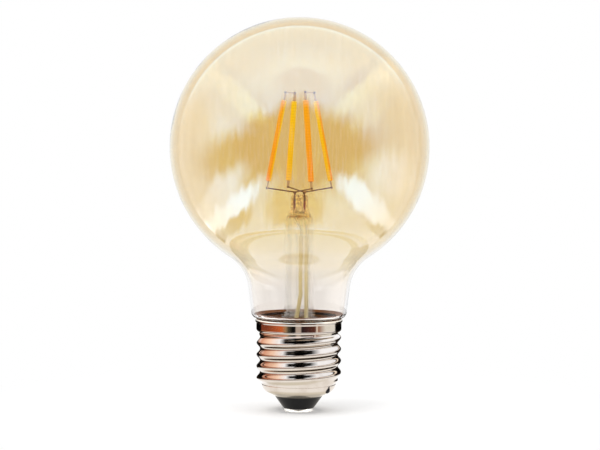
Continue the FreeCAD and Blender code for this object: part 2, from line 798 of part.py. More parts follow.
def make_cap():
    """Makes the screw cap: rolled shell, insulator, centre contact and cement."""
    run_out = f"{THREAD_FOOT} + thread_run_out"
    dome = turned(
        "shell_dome",
        [
            ("0", "dome_mouth_height"),
            (MOUTH, "dome_mouth_height"),
            (DOME, DOME_CORNER),
            (DOME, THREAD_FOOT),
            ("0", THREAD_FOOT),
        ],
        [("dome_corner_radius", DOME, DOME_CORNER)],
    )
    core = doc.addObject("Part::Feature", "thread_core")
    core.Shape = thread_core(value(THREAD_FOOT), value(COLLAR_FOOT))
    threaded = boolean("Fuse", "threaded_dome", dome, core)
    collar = turned(
        "shell_collar",
        [
            ("0", COLLAR_FOOT),
            (COLLAR, COLLAR_FOOT),
            (COLLAR, "cap_height - lip_height - lip_flare"),
            (LIP, "cap_height - lip_height"),
            (LIP, "cap_height"),
            ("0", "cap_height"),
        ],
        [
            ("collar_edge_radius", COLLAR, COLLAR_FOOT),
            ("lip_edge_radius", LIP, "cap_height"),
            ("lip_edge_radius", LIP, "cap_height - lip_height"),
        ],
    )
    rolled = boolean("Fuse", "rolled_shell", threaded, collar)
    above = "cap_height + shell_wall"
    below = "dome_mouth_height - shell_wall"
    bore = turned(
        "shell_bore",
        [
            ("0", below),
            (MOUTH, below),
            (MOUTH, BORE_MOUTH),
            (DOME_BORE, BORE_CORNER),
            (DOME_BORE, f"{THREAD_FOOT} + shell_wall"),
            (BORE, f"{run_out} + shell_wall"),
            (BORE, f"{COLLAR_FOOT} + shell_wall"),
            (COLLAR_BORE, f"{COLLAR_FOOT} + shell_wall"),
            (COLLAR_BORE, above),
            ("0", above),
        ],
        [(BORE_CORNER_RADIUS, DOME_BORE, BORE_CORNER)],
    )
    stake = block(
        "stake_slot",
        DOME,
        "stake_width",
        f"{STAKE} - stake_length / 2",
        "stake_length",
        f"{DOME_BORE} - neutral_inset + ( {DOME} ) / 2",
    )
    turn_stake = FreeCAD.Rotation(Vector(0, 0, 1), size("stake_angle"))
    doc.recompute()
    stake_base = stake.Placement.Base
    stake_shape = doc.addObject("Part::Feature", "stake_tool")
    stake_shape.Shape = stake.Shape
    stake_shape.Placement = FreeCAD.Placement(turn_stake.multVec(stake_base), turn_stake)
    keep(cut_all("shell", rolled, [bore, stake_shape]), "cap_shell")

    insulator = turned(
        "insulator_body",
        [
            ("rivet_diameter / 2", "contact_thickness"),
            ("insulator_foot_diameter / 2", "contact_thickness"),
            (MOUTH, "dome_mouth_height"),
            (MOUTH, BORE_MOUTH),
            (DOME_BORE, BORE_CORNER),
            (DOME_BORE, "insulator_shelf_height"),
            ("rivet_diameter / 2", "insulator_shelf_height"),
        ],
        [(BORE_CORNER_RADIUS, DOME_BORE, BORE_CORNER)],
    )
    notch = doc.addObject("Part::Feature", "insulator_notch")
    depth = value(STAKE) - size("stake_length") / 2
    notch.Shape = Part.makeBox(
        value(DOME),
        size("stake_width"),
        size("cap_height"),
        Vector(
            value(DOME_BORE) - 2 * size("neutral_inset"), -size("stake_width") / 2, depth
        ),
    )
    notch.Placement = FreeCAD.Placement(Vector(0, 0, 0), turn_stake)
    keep(boolean("Cut", "cap_insulator", insulator, notch), "cap_insulator")

    contact = turned(
        "centre_contact",
        [
            ("0", "0"),
            ("contact_diameter / 2", "0"),
            ("contact_diameter / 2", "contact_thickness"),
            ("rivet_diameter / 2", "contact_thickness"),
            ("rivet_diameter / 2", "rivet_height"),
            ("0", "rivet_height"),
        ],
        [("contact_edge_radius", "contact_diameter / 2", "0")],
    )
    keep(contact, "centre_contact")

    cement = turned(
        "cap_cement",
        [
            (SEAL, f"{COLLAR_FOOT} + shell_wall"),
            (COLLAR_BORE, f"{COLLAR_FOOT} + shell_wall"),
            (COLLAR_BORE, "cap_height"),
            (f"{LIP} - lip_edge_radius", "cap_height"),
            (BEAD, BEAD_TOP, "foot_corner_radius"),
            (FOOT_CORNER, FOOT),
            (SEAL, FOOT),
        ],
    )
    keep(cement, "cap_cement")


def make_driver():
    """Makes the round driver board on the insulator, its parts and the two supply wires."""
    disc = rod(
        "board_disc",
        f"2 * ( {DOME_BORE} - board_clearance )",
        "insulator_shelf_height",
        BOARD_TOP,
    )
    live = rod(
        "live_wire",
        "service_wire_diameter",
        "rivet_height",
        f"{BOARD_TOP} + service_wire_rise",
    )
    keep(live, "live_wire")
    turn = FreeCAD.Rotation(Vector(0, 0, 1), size("stake_angle"))
    inset = value(DOME_BORE) - size("board_clearance") - size("neutral_inset")
    heights = (
        value(BOARD_TOP) + size("service_wire_rise"),
        value(STAKE),
        value(STAKE),
    )
    reaches = (inset, inset, value(DOME) - size("shell_wall") / 2)
    route = [turn.multVec(Vector(r, 0, z)) for r, z in zip(reaches, heights)]
    neutral = bent_wire(
        "neutral_wire", "service_wire_diameter", route, size("neutral_bend_radius")
    )
    keep(neutral, "neutral_wire")
    through = [live, neutral, finished["outer_lead_left"], finished["outer_lead_right"]]
    keep(cut_all("driver_board", disc, through), "driver_board")

    can = turned(
        "smoothing_capacitor",
        [
            ("0", "0"),
            ("capacitor_diameter / 2", "0"),
            ("capacitor_diameter / 2", "capacitor_height"),
            ("0", "capacitor_height"),
        ],
        [
            ("capacitor_edge_radius", "capacitor_diameter / 2", "0"),
            ("capacitor_edge_radius", "capacitor_diameter / 2", "capacitor_height"),
        ],
    )
    set_place(can, "capacitor_across", "capacitor_back", BOARD_TOP)
    keep(can, "smoothing_capacitor")
    fuse = turned(
        "fusible_resistor",
        [
            ("0", "0"),
            ("fuse_diameter / 2", "0"),
            ("fuse_diameter / 2", "fuse_length"),
            ("0", "fuse_length"),
        ],
        [
            ("fuse_end_radius", "fuse_diameter / 2", "0"),
            ("fuse_end_radius", "fuse_diameter / 2", "fuse_length"),
        ],
    )
    set_place(fuse, "fuse_across", "fuse_back", BOARD_TOP)
    keep(fuse, "fusible_resistor")
    for name, prefix in (("bridge_rectifier", "rectifier"), ("driver_chip", "chip")):
        box = block(
            name,
            f"{prefix}_length",
            f"{prefix}_width",
            BOARD_TOP,
            f"{prefix}_height",
            f"{prefix}_across",
            f"{prefix}_back",
        )
        keep(box, name)
    chips = [
        block(
            f"chip_resistor_{number}",
            "resistor_width",
            "resistor_length",
            BOARD_TOP,
            "resistor_height",
            f"resistor_across + {number} * resistor_pitch",
            "resistor_back",
        )
        for number in range(2)
    ]
    group = doc.addObject("Part::Compound", "chip_resistors")
    group.Links = chips
    keep(group, "chip_resistors")


def write_parts():
    """Checks every object of the document, then writes each piece to its file."""
    doc.recompute()
    for item in doc.Objects:
        if "Invalid" in item.State or "Error" in item.State:
            raise RuntimeError(f"{item.Name} did not build: {item.State}")
    for name, piece in finished.items():
        shape = piece.Shape
        if shape.isNull() or not shape.isValid() or not shape.Solids:
            raise RuntimeError(f"{name} has no valid solid")
    os.makedirs("parts", exist_ok=True)
    for name, piece in finished.items():
        piece.Shape.exportStep(f"parts/{name}.step")
        print(f"{name}: {piece.Shape.Volume:.2f} mm3")


make_globe()
make_stem()
make_leads()
for place, quarter in QUARTERS.items():
    make_filament(place, quarter)
make_cage_wires()
make_cap()
make_driver()
write_parts()
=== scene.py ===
"""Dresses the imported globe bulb: amber glass, filament cage, screw cap and studio."""

import logging
import math
import random
from dataclasses import dataclass
from enum import Enum
from typing import Any

import bmesh
import bpy
from mathutils import Matrix, Vector


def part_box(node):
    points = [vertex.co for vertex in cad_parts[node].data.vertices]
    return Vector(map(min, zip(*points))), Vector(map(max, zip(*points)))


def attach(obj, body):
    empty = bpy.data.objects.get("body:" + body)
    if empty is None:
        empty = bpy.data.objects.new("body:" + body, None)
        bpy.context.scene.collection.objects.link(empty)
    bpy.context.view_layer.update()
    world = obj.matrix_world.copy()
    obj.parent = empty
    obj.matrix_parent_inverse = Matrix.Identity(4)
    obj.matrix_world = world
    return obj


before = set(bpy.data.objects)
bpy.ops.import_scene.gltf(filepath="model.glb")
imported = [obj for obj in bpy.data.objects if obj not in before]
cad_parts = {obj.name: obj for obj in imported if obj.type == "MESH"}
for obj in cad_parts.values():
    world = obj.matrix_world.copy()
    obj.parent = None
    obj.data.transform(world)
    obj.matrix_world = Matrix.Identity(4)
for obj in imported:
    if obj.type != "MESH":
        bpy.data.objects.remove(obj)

log = logging.getLogger("globe_bulb")
MM = 0.001
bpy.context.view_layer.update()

# Length of one band of the wave texture at a scale of 1
WAVE_LENGTH = 0.314

# Unevenness of the weld, solder and bubble nuggets
NUGGET_TURN = 6.28
NUGGET_SWELL = 0.12
NUGGET_LOBES = 3


class Slot(Enum):
    """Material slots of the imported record."""

    AMBER_GLASS = "amber_glass"
    STEM_GLASS = "stem_glass"
    NICKEL_PLATE = "nickel_plate"
    INSULATOR = "black_insulator"
    CONTACT = "contact_metal"
    CEMENT = "cap_cement"
    BOARD = "board_laminate"
    CAPACITOR = "capacitor_can"
    RESISTOR = "resistor_body"
    CHIP_PLASTIC = "chip_plastic"
    CHIP_CERAMIC = "chip_ceramic"
    TINNED_WIRE = "tinned_wire"
    FILAMENT = "filament_coat"
    TAB = "nickel_tab"
    WIRE = "nickel_wire"
    SEAL_WIRE = "seal_wire"
    SLEEVE = "wire_sleeve"


def linear(code: str) -> tuple[float, float, float, float]:
    """Turns an sRGB hex colour to linear light.

    Args:
        code: six hex digits, with or without a leading hash.

    Returns:
        Red, green, blue and a full alpha.
    """
    code = code.lstrip("#")
    parts = [int(code[i:i + 2], 16) / 255 for i in (0, 2, 4)]
    red, green, blue = (
        p / 12.92 if p <= 0.04045 else ((p + 0.055) / 1.055) ** 2.4 for p in parts
    )
    return (red, green, blue, 1.0)


def add_node(
    tree: bpy.types.NodeTree,
    kind: str,
    sockets: dict[Any, Any] | None = None,
    **settings: Any,
) -> bpy.types.Node:
    """Adds a node with its settings, socket values and links.

    Args:
        tree: the material's or world's node tree.
        kind: the node's type name.
        sockets: input name or number, with a value or an output socket to link.
        **settings: attributes of the node.

    Returns:
        The new node.
    """
    node = tree.nodes.new(kind)
    for name, value in settings.items():
        setattr(node, name, value)
    for key, source in (sockets or {}).items():
        if isinstance(source, bpy.types.NodeSocket):
            tree.links.new(source, node.inputs[key])
        else:
            node.inputs[key].default_value = source
    return node


def set_stops(
    ramp: bpy.types.ColorRamp, stops: list[tuple[float, tuple[float, ...]]]
) -> None:
    """Sets the stops of a colour ramp.

    Args:
        ramp: the ramp to fill.
        stops: place from 0 to 1 and linear colour of each stop, in order.
    """
    while len(ramp.elements) > 1:
        ramp.elements.remove(ramp.elements[-1])
    for number, (place, colour) in enumerate(stops):
        stop = ramp.elements[0] if number == 0 else ramp.elements.new(place)
        stop.position = place
        stop.color = colour


@dataclass(frozen=True)
class Finish:
    """A surface finish, as the shader's plain values."""

    name: str
    colour: str
    roughness: float
    metallic: float = 0.0

    def start(self) -> tuple[bpy.types.Material, bpy.types.NodeTree, bpy.types.Node]:
        """Starts the material with its plain values.

        Returns:
            The material, its node tree and its main shader.
        """
        material = bpy.data.materials.new(self.name)
        material.use_nodes = True
        tree = material.node_tree
        shader = tree.nodes["Principled BSDF"]
        shader.inputs["Base Color"].default_value = linear(self.colour)
        shader.inputs["Roughness"].default_value = self.roughness
        shader.inputs["Metallic"].default_value = self.metallic
        return material, tree, shader

    def material(self) -> bpy.types.Material:
        """Makes the finish as a material."""
        raise NotImplementedError


@dataclass(frozen=True)
class AmberLustreGlass(Finish):
    """Blown soda glass with a vacuum-coated amber lustre that fades out at the neck."""

    clear: str = "F4F0EC"
    index: float = 1.9
    sheen_colour: str = "7CB8F8"
    plain_gloss: str = "50504E"
    fade_foot: float = 37.5
    fade_top: float = 68.0
    cloud_size: float = 30.0
    cloud_shift: float = 6.0
    ripple_size: float = 14.0
    ripple_height: float = 0.02

    def material(self) -> bpy.types.Material:
        """Makes the glass: a warm tint, a bluish metal-oxide sheen and slow ripples."""
        material, tree, shader = self.start()
        place = add_node(tree, "ShaderNodeTexCoord").outputs["Object"]
        height = add_node(tree, "ShaderNodeSeparateXYZ", {0: place}).outputs["Z"]
        cloud = add_node(
            tree,
            "ShaderNodeTexNoise",
            {"Vector": place, "Scale": 1 / (self.cloud_size * MM), "Detail": 1.0},
        )
        shift = add_node(
            tree,
            "ShaderNodeMath",
            {0: cloud.outputs["Fac"], 1: self.cloud_shift * MM, 2: height},
            operation="MULTIPLY_ADD",
        )
        fade = add_node(
            tree,
            "ShaderNodeMapRange",
            {
                "Value": shift.outputs[0],
                "From Min": self.fade_foot * MM,
                "From Max": self.fade_top * MM,
            },
            interpolation_type="SMOOTHSTEP",
        )
        tint = add_node(
            tree,
            "ShaderNodeMix",
            {
                "Factor": fade.outputs["Result"],
                6: linear(self.clear),
                7: linear(self.colour),
            },
            data_type="RGBA",
        )
        tree.links.new(tint.outputs[2], shader.inputs["Base Color"])
        sheen = add_node(
            tree,
            "ShaderNodeMix",
            {
                "Factor": fade.outputs["Result"],
                6: linear(self.plain_gloss),
                7: linear(self.sheen_colour),
            },
            data_type="RGBA",
        )
        tree.links.new(sheen.outputs[2], shader.inputs["Specular Tint"])
        ripple = add_node(
            tree,
            "ShaderNodeTexNoise",
            {"Vector": place, "Scale": 1 / (self.ripple_size * MM), "Detail": 1.5},
        )
        bump = add_node(
            tree,
            "ShaderNodeBump",
            {
                "Height": ripple.outputs["Fac"],
                "Strength": fade.outputs["Result"],
                "Distance": self.ripple_height * MM,
            },
        )
        tree.links.new(bump.outputs["Normal"], shader.inputs["Normal"])
        shader.inputs["Transmission Weight"].default_value = 1.0
        shader.inputs["IOR"].default_value = self.index
        return material


@dataclass(frozen=True)
class PressedStemGlass(Finish):
    """Clear lead glass, flame worked, with creases where the jaws pinched it."""

    stained: str = "FFF4DC"
    # Dark brown on the crease lines: painted shade in the creases
    crease_shade: str = "9A6A2C"
    gloss: str = "80807C"
    thin_share: float = 0.2
    index: float = 1.5
    crease_size: float = 1.3
    crease_height: float = 0.35
    fold_middle: float = 0.5
    fold_half: float = 0.06
    press_foot: float = 58.5
    press_top: float = 60.5
    tube_share: float = 0.02

    def material(self) -> bpy.types.Material:
        """Makes the glass: clear in the tube, stained and creased in the press, with painted
        shade along the creases.
        """
        material, tree, shader = self.start()
        place = add_node(tree, "ShaderNodeTexCoord").outputs["Object"]
        height = add_node(tree, "ShaderNodeSeparateXYZ", {0: place}).outputs["Z"]
        pressed = add_node(
            tree,
            "ShaderNodeMapRange",
            {
                "Value": height,
                "From Min": self.press_foot * MM,
                "From Max": self.press_top * MM,
                "To Min": self.tube_share,
            },
            interpolation_type="SMOOTHSTEP",
        )
        crease = add_node(
            tree,
            "ShaderNodeTexNoise",
            {"Vector": place, "Scale": 1 / (self.crease_size * MM), "Detail": 2.0},
        )
        # Dark lines where the crease noise crosses its middle: painted shade along the creases
        shaded_creases = add_node(tree, "ShaderNodeValToRGB", {0: crease.outputs["Fac"]})
        set_stops(
            shaded_creases.color_ramp,
            [
                (self.fold_middle - self.fold_half, linear(self.stained)),
                (self.fold_middle, linear(self.crease_shade)),
                (self.fold_middle + self.fold_half, linear(self.stained)),
            ],
        )
        tint = add_node(
            tree,
            "ShaderNodeMix",
            {
                "Factor": pressed.outputs["Result"],
                6: linear(self.colour),
                7: shaded_creases.outputs["Color"],
            },
            data_type="RGBA",
        )
        tree.links.new(tint.outputs[2], shader.inputs["Base Color"])
        body = add_node(
            tree,
            "ShaderNodeMapRange",
            {"Value": pressed.outputs["Result"], "To Min": self.thin_share},
        )
        tree.links.new(body.outputs["Result"], shader.inputs["Alpha"])
        bump = add_node(
            tree,
            "ShaderNodeBump",
            {
                "Height": crease.outputs["Fac"],
                "Strength": pressed.outputs["Result"],
                "Distance": self.crease_height * MM,
            },
        )
        tree.links.new(bump.outputs["Normal"], shader.inputs["Normal"])
        shader.inputs["Transmission Weight"].default_value = 1.0
        shader.inputs["IOR"].default_value = self.index
        shader.inputs["Specular Tint"].default_value = linear(self.gloss)
        return material


@dataclass(frozen=True)
class PhosphorCoat(Finish):
    """Silicone filled with phosphor grains, cast over a strip of light chips."""

    inner: str = "EEC000"
    glow: float = 0.2
    # Emission on the unlit coat: a painted glow
    gloss: float = 0.15
    index: float = 1.41
    face_soft: float = 0.35
    chip_pitch: float = 0.9
    bar_wander: float = 0.6
    bar_dark: float = 0.9
    bar_bright: float = 1.06
    # Grains are drawn coarser than real phosphor so that they show
    grain: float = 0.12
    grain_strength: float = 0.4
    grain_height: float = 0.02
    coat_foot: float = 71.0
    coat_top: float = 96.0
    # A hue of 0.5 leaves the colour as it is
    foot_hue: float = 0.5
    top_hue: float = 0.52

    def material(self) -> bpy.types.Material:
        """Makes the coat: orange outside, yellow inside and upwards, with soft chip bars and a
        faint painted glow.
        """
        material, tree, shader = self.start()
        place = add_node(tree, "ShaderNodeTexCoord").outputs["Object"]
        normal = add_node(tree, "ShaderNodeNewGeometry").outputs["Normal"]
        across = add_node(
            tree,
            "ShaderNodeVectorMath",
            {0: place, 1: (1.0, 1.0, 0.0)},
            operation="MULTIPLY",
        )
        outward = add_node(
            tree, "ShaderNodeVectorMath", {0: across.outputs[0]}, operation="NORMALIZE"
        )
        facing = add_node(
            tree,
            "ShaderNodeVectorMath",
            {0: outward.outputs[0], 1: normal},
            operation="DOT_PRODUCT",
        )
        side = add_node(
            tree,
            "ShaderNodeMapRange",
            {
                "Value": facing.outputs["Value"],
                "From Min": -self.face_soft,
                "From Max": self.face_soft,
            },
            interpolation_type="SMOOTHSTEP",
        )
        bars = add_node(
            tree,
            "ShaderNodeTexWave",
            {
                "Vector": place,
                "Scale": WAVE_LENGTH / (self.chip_pitch * MM),
                "Distortion": self.bar_wander,
            },
            wave_type="BANDS",
            bands_direction="Z",
        )
        faces = add_node(
            tree,
            "ShaderNodeMix",
            {
                "Factor": side.outputs["Result"],
                6: linear(self.inner),
                7: linear(self.colour),
            },
            data_type="RGBA",
        )
        lift = add_node(
            tree,
            "ShaderNodeMapRange",
            {
                "Value": bars.outputs["Fac"],
                "To Min": self.bar_dark,
                "To Max": self.bar_bright,
            },
        )
        split = add_node(tree, "ShaderNodeSeparateXYZ", {0: place})
        hue = add_node(
            tree,
            "ShaderNodeMapRange",
            {
                "Value": split.outputs["Z"],
                "From Min": self.coat_foot * MM,
                "From Max": self.coat_top * MM,
                "To Min": self.foot_hue,
                "To Max": self.top_hue,
            },
        )
        coat = add_node(
            tree,
            "ShaderNodeHueSaturation",
            {
                "Hue": hue.outputs["Result"],
                "Color": faces.outputs[2],
                "Value": lift.outputs["Result"],
            },
        )
        tree.links.new(coat.outputs["Color"], shader.inputs["Base Color"])
        # Painted glow: the coat's own colour is also emitted
        tree.links.new(coat.outputs["Color"], shader.inputs["Emission Color"])
        shader.inputs["Emission Strength"].default_value = self.glow
        grains = add_node(
            tree,
            "ShaderNodeTexNoise",
            {"Vector": place, "Scale": 1 / (self.grain * MM), "Detail": 2.0},
        )
        bump = add_node(
            tree,
            "ShaderNodeBump",
            {
                "Height": grains.outputs["Fac"],
                "Strength": self.grain_strength,
                "Distance": self.grain_height * MM,
            },
        )
        tree.links.new(bump.outputs["Normal"], shader.inputs["Normal"])
        shader.inputs["IOR"].default_value = self.index
        shader.inputs["Specular IOR Level"].default_value = self.gloss
        return material


@dataclass(frozen=True)
class WorkedMetal(Finish):
    """Plated, drawn or soldered metal with its own stains and working marks."""

    stain: str = "8A7C6A"
    stain_size: float = 4.0
    stain_share: float = 0.3
    stain_range: tuple[float, float] = (0.45, 0.8)
    gloss_range: tuple[float, float] = (0.3, 0.7)
    mark_size: float = 0.5
    mark_stretch: tuple[float, float, float] = (1.0, 1.0, 1.0)
    mark_strength: float = 0.5
    mark_height: float = 0.01
    rough_spread: float = 0.08

    def material(self) -> bpy.types.Material:
        """Makes the metal: clouded colour, uneven gloss and fine working marks."""
        material, tree, shader = self.start()
        place = add_node(tree, "ShaderNodeTexCoord").outputs["Object"]
        cloud = add_node(
            tree,
            "ShaderNodeTexNoise",
            {"Vector": place, "Scale": 1 / (self.stain_size * MM), "Detail": 4.0},
        )
        share = add_node(
            tree,
            "ShaderNodeMapRange",
            {
                "Value": cloud.outputs["Fac"],
                "From Min": self.stain_range[0],
                "From Max": self.stain_range[1],
                "To Max": self.stain_share,
            },
            interpolation_type="SMOOTHSTEP",
        )
        tone = add_node(
            tree,
            "ShaderNodeMix",
            {
                "Factor": share.outputs["Result"],
                6: linear(self.colour),
                7: linear(self.stain),
            },
            data_type="RGBA",
        )
        tree.links.new(tone.outputs[2], shader.inputs["Base Color"])
        gloss = add_node(
            tree,
            "ShaderNodeMapRange",
            {
                "Value": cloud.outputs["Fac"],
                "From Min": self.gloss_range[0],
                "From Max": self.gloss_range[1],
                "To Min": self.roughness,
                "To Max": self.roughness + self.rough_spread,
            },
        )
        tree.links.new(gloss.outputs["Result"], shader.inputs["Roughness"])
        stretched = add_node(
            tree, "ShaderNodeMapping", {"Vector": place, "Scale": self.mark_stretch}
        )
        marks = add_node(
            tree,
            "ShaderNodeTexNoise",
            {
                "Vector": stretched.outputs[0],
                "Scale": 1 / (self.mark_size * MM),
                "Detail": 3.0,
            },
        )
        bump = add_node(
            tree,
            "ShaderNodeBump",
            {
                "Height": marks.outputs["Fac"],
                "Strength": self.mark_strength,
                "Distance": self.mark_height * MM,
            },
        )
        tree.links.new(bump.outputs["Normal"], shader.inputs["Normal"])
        return material


@dataclass(frozen=True)
class CastBody(Finish):
    """Cement, glass or moulded resin with a cloudy second colour and a grain."""

    second: str = "000000"
    cloud_size: float = 2.0
    grain: float = 0.3
    grain_strength: float = 0.6
    grain_height: float = 0.03
    index: float = 1.5
    gloss: float = 0.5

    def material(self) -> bpy.types.Material:
        """Makes the body: two clouded tones and a bumpy grain."""
        material, tree, shader = self.start()
        place = add_node(tree, "ShaderNodeTexCoord").outputs["Object"]
        cloud = add_node(
            tree,
            "ShaderNodeTexNoise",
            {"Vector": place, "Scale": 1 / (self.cloud_size * MM), "Detail": 4.0},
        )
        tone = add_node(
            tree,
            "ShaderNodeMix",
            {
                "Factor": cloud.outputs["Fac"],
                6: linear(self.colour),
                7: linear(self.second),
            },
            data_type="RGBA",
        )
        tree.links.new(tone.outputs[2], shader.inputs["Base Color"])
        grains = add_node(
            tree,
            "ShaderNodeTexNoise",
            {"Vector": place, "Scale": 1 / (self.grain * MM), "Detail": 3.0},
        )
        bump = add_node(
            tree,
            "ShaderNodeBump",
            {
                "Height": grains.outputs["Fac"],
                "Strength": self.grain_strength,
                "Distance": self.grain_height * MM,
            },
        )
        tree.links.new(bump.outputs["Normal"], shader.inputs["Normal"])
        shader.inputs["IOR"].default_value = self.index
        shader.inputs["Specular IOR Level"].default_value = self.gloss
        return material


@dataclass(frozen=True)
class BraidedSleeve(Finish):
    """Glass-fibre sleeve: fine yarns braided on the bias and varnished."""

    # Darker colour between the yarns: painted shade in the braid's grooves
    groove_shade: str = "B09858"
    # Yarns are drawn coarser than real ones so that they show
    yarn: float = 0.45
    yarn_lean: float = 45.0
    yarn_wander: float = 0.4
    braid_strength: float = 0.7
    braid_height: float = 0.06

    def material(self) -> bpy.types.Material:
        """Makes the sleeve: two crossing runs of yarn, lighter where they lie on top, with
        painted shade between them.
        """
        material, tree, shader = self.start()
        place = add_node(tree, "ShaderNodeTexCoord").outputs["Object"]
        runs = []
        for lean in (1.0, -1.0):
            turned = add_node(
                tree,
                "ShaderNodeMapping",
                {"Vector": place, "Rotation": (0.0, lean * math.radians(self.yarn_lean), 0.0)},
            )
            run = add_node(
                tree,
                "ShaderNodeTexWave",
                {
                    "Vector": turned.outputs[0],
                    "Scale": WAVE_LENGTH / (self.yarn * MM),
                    "Distortion": self.yarn_wander,
                },
                wave_type="BANDS",
                bands_direction="Z",
            )
            runs.append(run.outputs["Fac"])
        braid = add_node(
            tree, "ShaderNodeMath", {0: runs[0], 1: runs[1]}, operation="MAXIMUM"
        )
        tone = add_node(
            tree,
            "ShaderNodeMix",
            {
                "Factor": braid.outputs[0],
                6: linear(self.groove_shade),
                7: linear(self.colour),
            },
            data_type="RGBA",
        )
        tree.links.new(tone.outputs[2], shader.inputs["Base Color"])
        bump = add_node(
            tree,
            "ShaderNodeBump",
            {
                "Height": braid.outputs[0],
                "Strength": self.braid_strength,
                "Distance": self.braid_height * MM,
            },
        )
        tree.links.new(bump.outputs["Normal"], shader.inputs["Normal"])
        return material


@dataclass(frozen=True)
class BandedLacquer(Finish):
    """A stack of coloured bands along Z over a lacquered or sleeved body."""

    bands: tuple[tuple[float, str], ...] = ()
    foot: float = 0.0
    length: float = 1.0
    speck_size: float = 0.4
    speck_strength: float = 0.4
    speck_height: float = 0.03

    def material(self) -> bpy.types.Material:
        """Makes the bands as hard stops along the body's height."""
        material, tree, shader = self.start()
        place = add_node(tree, "ShaderNodeTexCoord").outputs["Object"]
        height = add_node(tree, "ShaderNodeSeparateXYZ", {0: place}).outputs["Z"]
        along = add_node(
            tree,
            "ShaderNodeMapRange",
            {
                "Value": height,
                "From Min": self.foot * MM,
                "From Max": (self.foot + self.length) * MM,
            },
        )
        ramp = add_node(tree, "ShaderNodeValToRGB", {0: along.outputs["Result"]})
        ramp.color_ramp.interpolation = "CONSTANT"
        set_stops(ramp.color_ramp, [(p, linear(c)) for p, c in self.bands])
        tree.links.new(ramp.outputs["Color"], shader.inputs["Base Color"])
        speck = add_node(
            tree,
            "ShaderNodeTexNoise",
            {"Vector": place, "Scale": 1 / (self.speck_size * MM), "Detail": 2.0},
        )
        bump = add_node(
            tree,
            "ShaderNodeBump",
            {
                "Height": speck.outputs["Fac"],
                "Strength": self.speck_strength,
                "Distance": self.speck_height * MM,
            },
        )
        tree.links.new(bump.outputs["Normal"], shader.inputs["Normal"])
        return material


def finishes() -> dict[Slot, bpy.types.Material]:
    """Makes one material for every slot of the record.

    Returns:
        The materials by slot.
    """
    rows: dict[Slot, Finish] = {
        # Vacuum lustre: warm to look through, with pale bluish reflections
        Slot.AMBER_GLASS: AmberLustreGlass("amber lustre glass", "EEDDB2", 0.0),
        # Flame-worked glass: clear walls, wrinkled where it was pinched
        Slot.STEM_GLASS: PressedStemGlass("pressed lead glass", "F6F4EA", 0.0),
        # Bright nickel over rolled brass: mirror gloss with faint rolling lines
        Slot.NICKEL_PLATE: WorkedMetal(
            "bright nickel plate", "D9CFC0", 0.06, 1.0,
            stain="A68F78", stain_size=5.0, mark_size=1.2,
            mark_stretch=(0.15, 0.15, 1.0), mark_height=0.008, rough_spread=0.07,
        ),
        # Cast black glass: deep black with a soft moulded gloss
        Slot.INSULATOR: CastBody(
            "black vitreous insulator", "07080A", 0.3,
            second="101216", grain=0.8, grain_height=0.015, gloss=0.25,
        ),
        # Tinned brass: pale and dull from dipping
        Slot.CONTACT: WorkedMetal(
            "dip-tinned brass", "E6E1D8", 0.3, 1.0, stain="A8A098", mark_height=0.03
        ),
        # Baked resin cement: dark red-brown and gritty
        Slot.CEMENT: CastBody(
            "baked cap cement", "8A542A", 0.8, second="4A2E18", grain=0.25,
            grain_height=0.08, gloss=0.2,
        ),
        # Solder-masked glass laminate
        Slot.BOARD: CastBody(
            "masked glass laminate", "2E6B3C", 0.35, second="1E5230", grain=0.35
        ),
        # Aluminium can in a shrunk film sleeve, bare at its top
        Slot.CAPACITOR: BandedLacquer(
            "film-sleeved aluminium can", "20242B", 0.3,
            bands=((0.0, "23272E"), (0.95, "C9CBCD")), foot=9.65, length=11.0,
        ),
        # Lacquered ceramic rod with value rings
        Slot.RESISTOR: BandedLacquer(
            "lacquered resistor rod", "7C9AA6", 0.35,
            bands=(
                (0.0, "8FB0BC"), (0.2, "6B3A1E"), (0.3, "8FB0BC"), (0.42, "16140F"),
                (0.52, "8FB0BC"), (0.64, "6B3A1E"), (0.74, "8FB0BC"), (0.84, "B58A2E"),
                (0.92, "8FB0BC"),
            ),
            foot=9.65, length=6.5,
        ),
        # Moulded epoxy with filler: matt near-black
        Slot.CHIP_PLASTIC: CastBody(
            "moulded epoxy", "1A1A1C", 0.55, second="26262A", grain=0.15
        ),
        # Glazed alumina chips
        Slot.CHIP_CERAMIC: CastBody(
            "glazed alumina", "17171A", 0.3, second="2B2B30", grain=0.3
        ),
        # Copper wire dipped in tin
        Slot.TINNED_WIRE: WorkedMetal(
            "tinned copper wire", "E4DCC4", 0.35, 0.4, stain="A3745A", stain_share=0.35
        ),
        # Phosphor-filled silicone: saturated, with a faint painted glow though unlit, and
        # softly matt
        Slot.FILAMENT: PhosphorCoat("phosphor-filled silicone", "EA9800", 0.5),
        # Punched nickel-iron strip, browned by the welding heat
        Slot.TAB: WorkedMetal("heat-tinted nickel strip", "C8A878", 0.4, 0.2),
        # Drawn nickel wire with die lines, browned by the welding heat
        Slot.WIRE: WorkedMetal("heat-tinted nickel wire", "805828", 0.4, 0.3),
        # Copper-clad seal wire under its red borate glaze
        Slot.SEAL_WIRE: WorkedMetal(
            "borated copper-clad wire", "A5482A", 0.25, 0.7, stain="5E2416"
        ),
        # Varnished glass-fibre braid: khaki yarns
        Slot.SLEEVE: BraidedSleeve("varnished glass-fibre braid", "E6D6A4", 0.55),
    }
    return {slot: finish.material() for slot, finish in rows.items()}


def dress(nodes: tuple[str, ...], material: bpy.types.Material) -> None:
    """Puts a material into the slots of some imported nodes.

    Args:
        nodes: the nodes' names.
        material: the finish that they share.
    """
    for name in nodes:
        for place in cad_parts[name].material_slots:
            place.material = material
        log.info("dressed %s in %s", name, material.name)


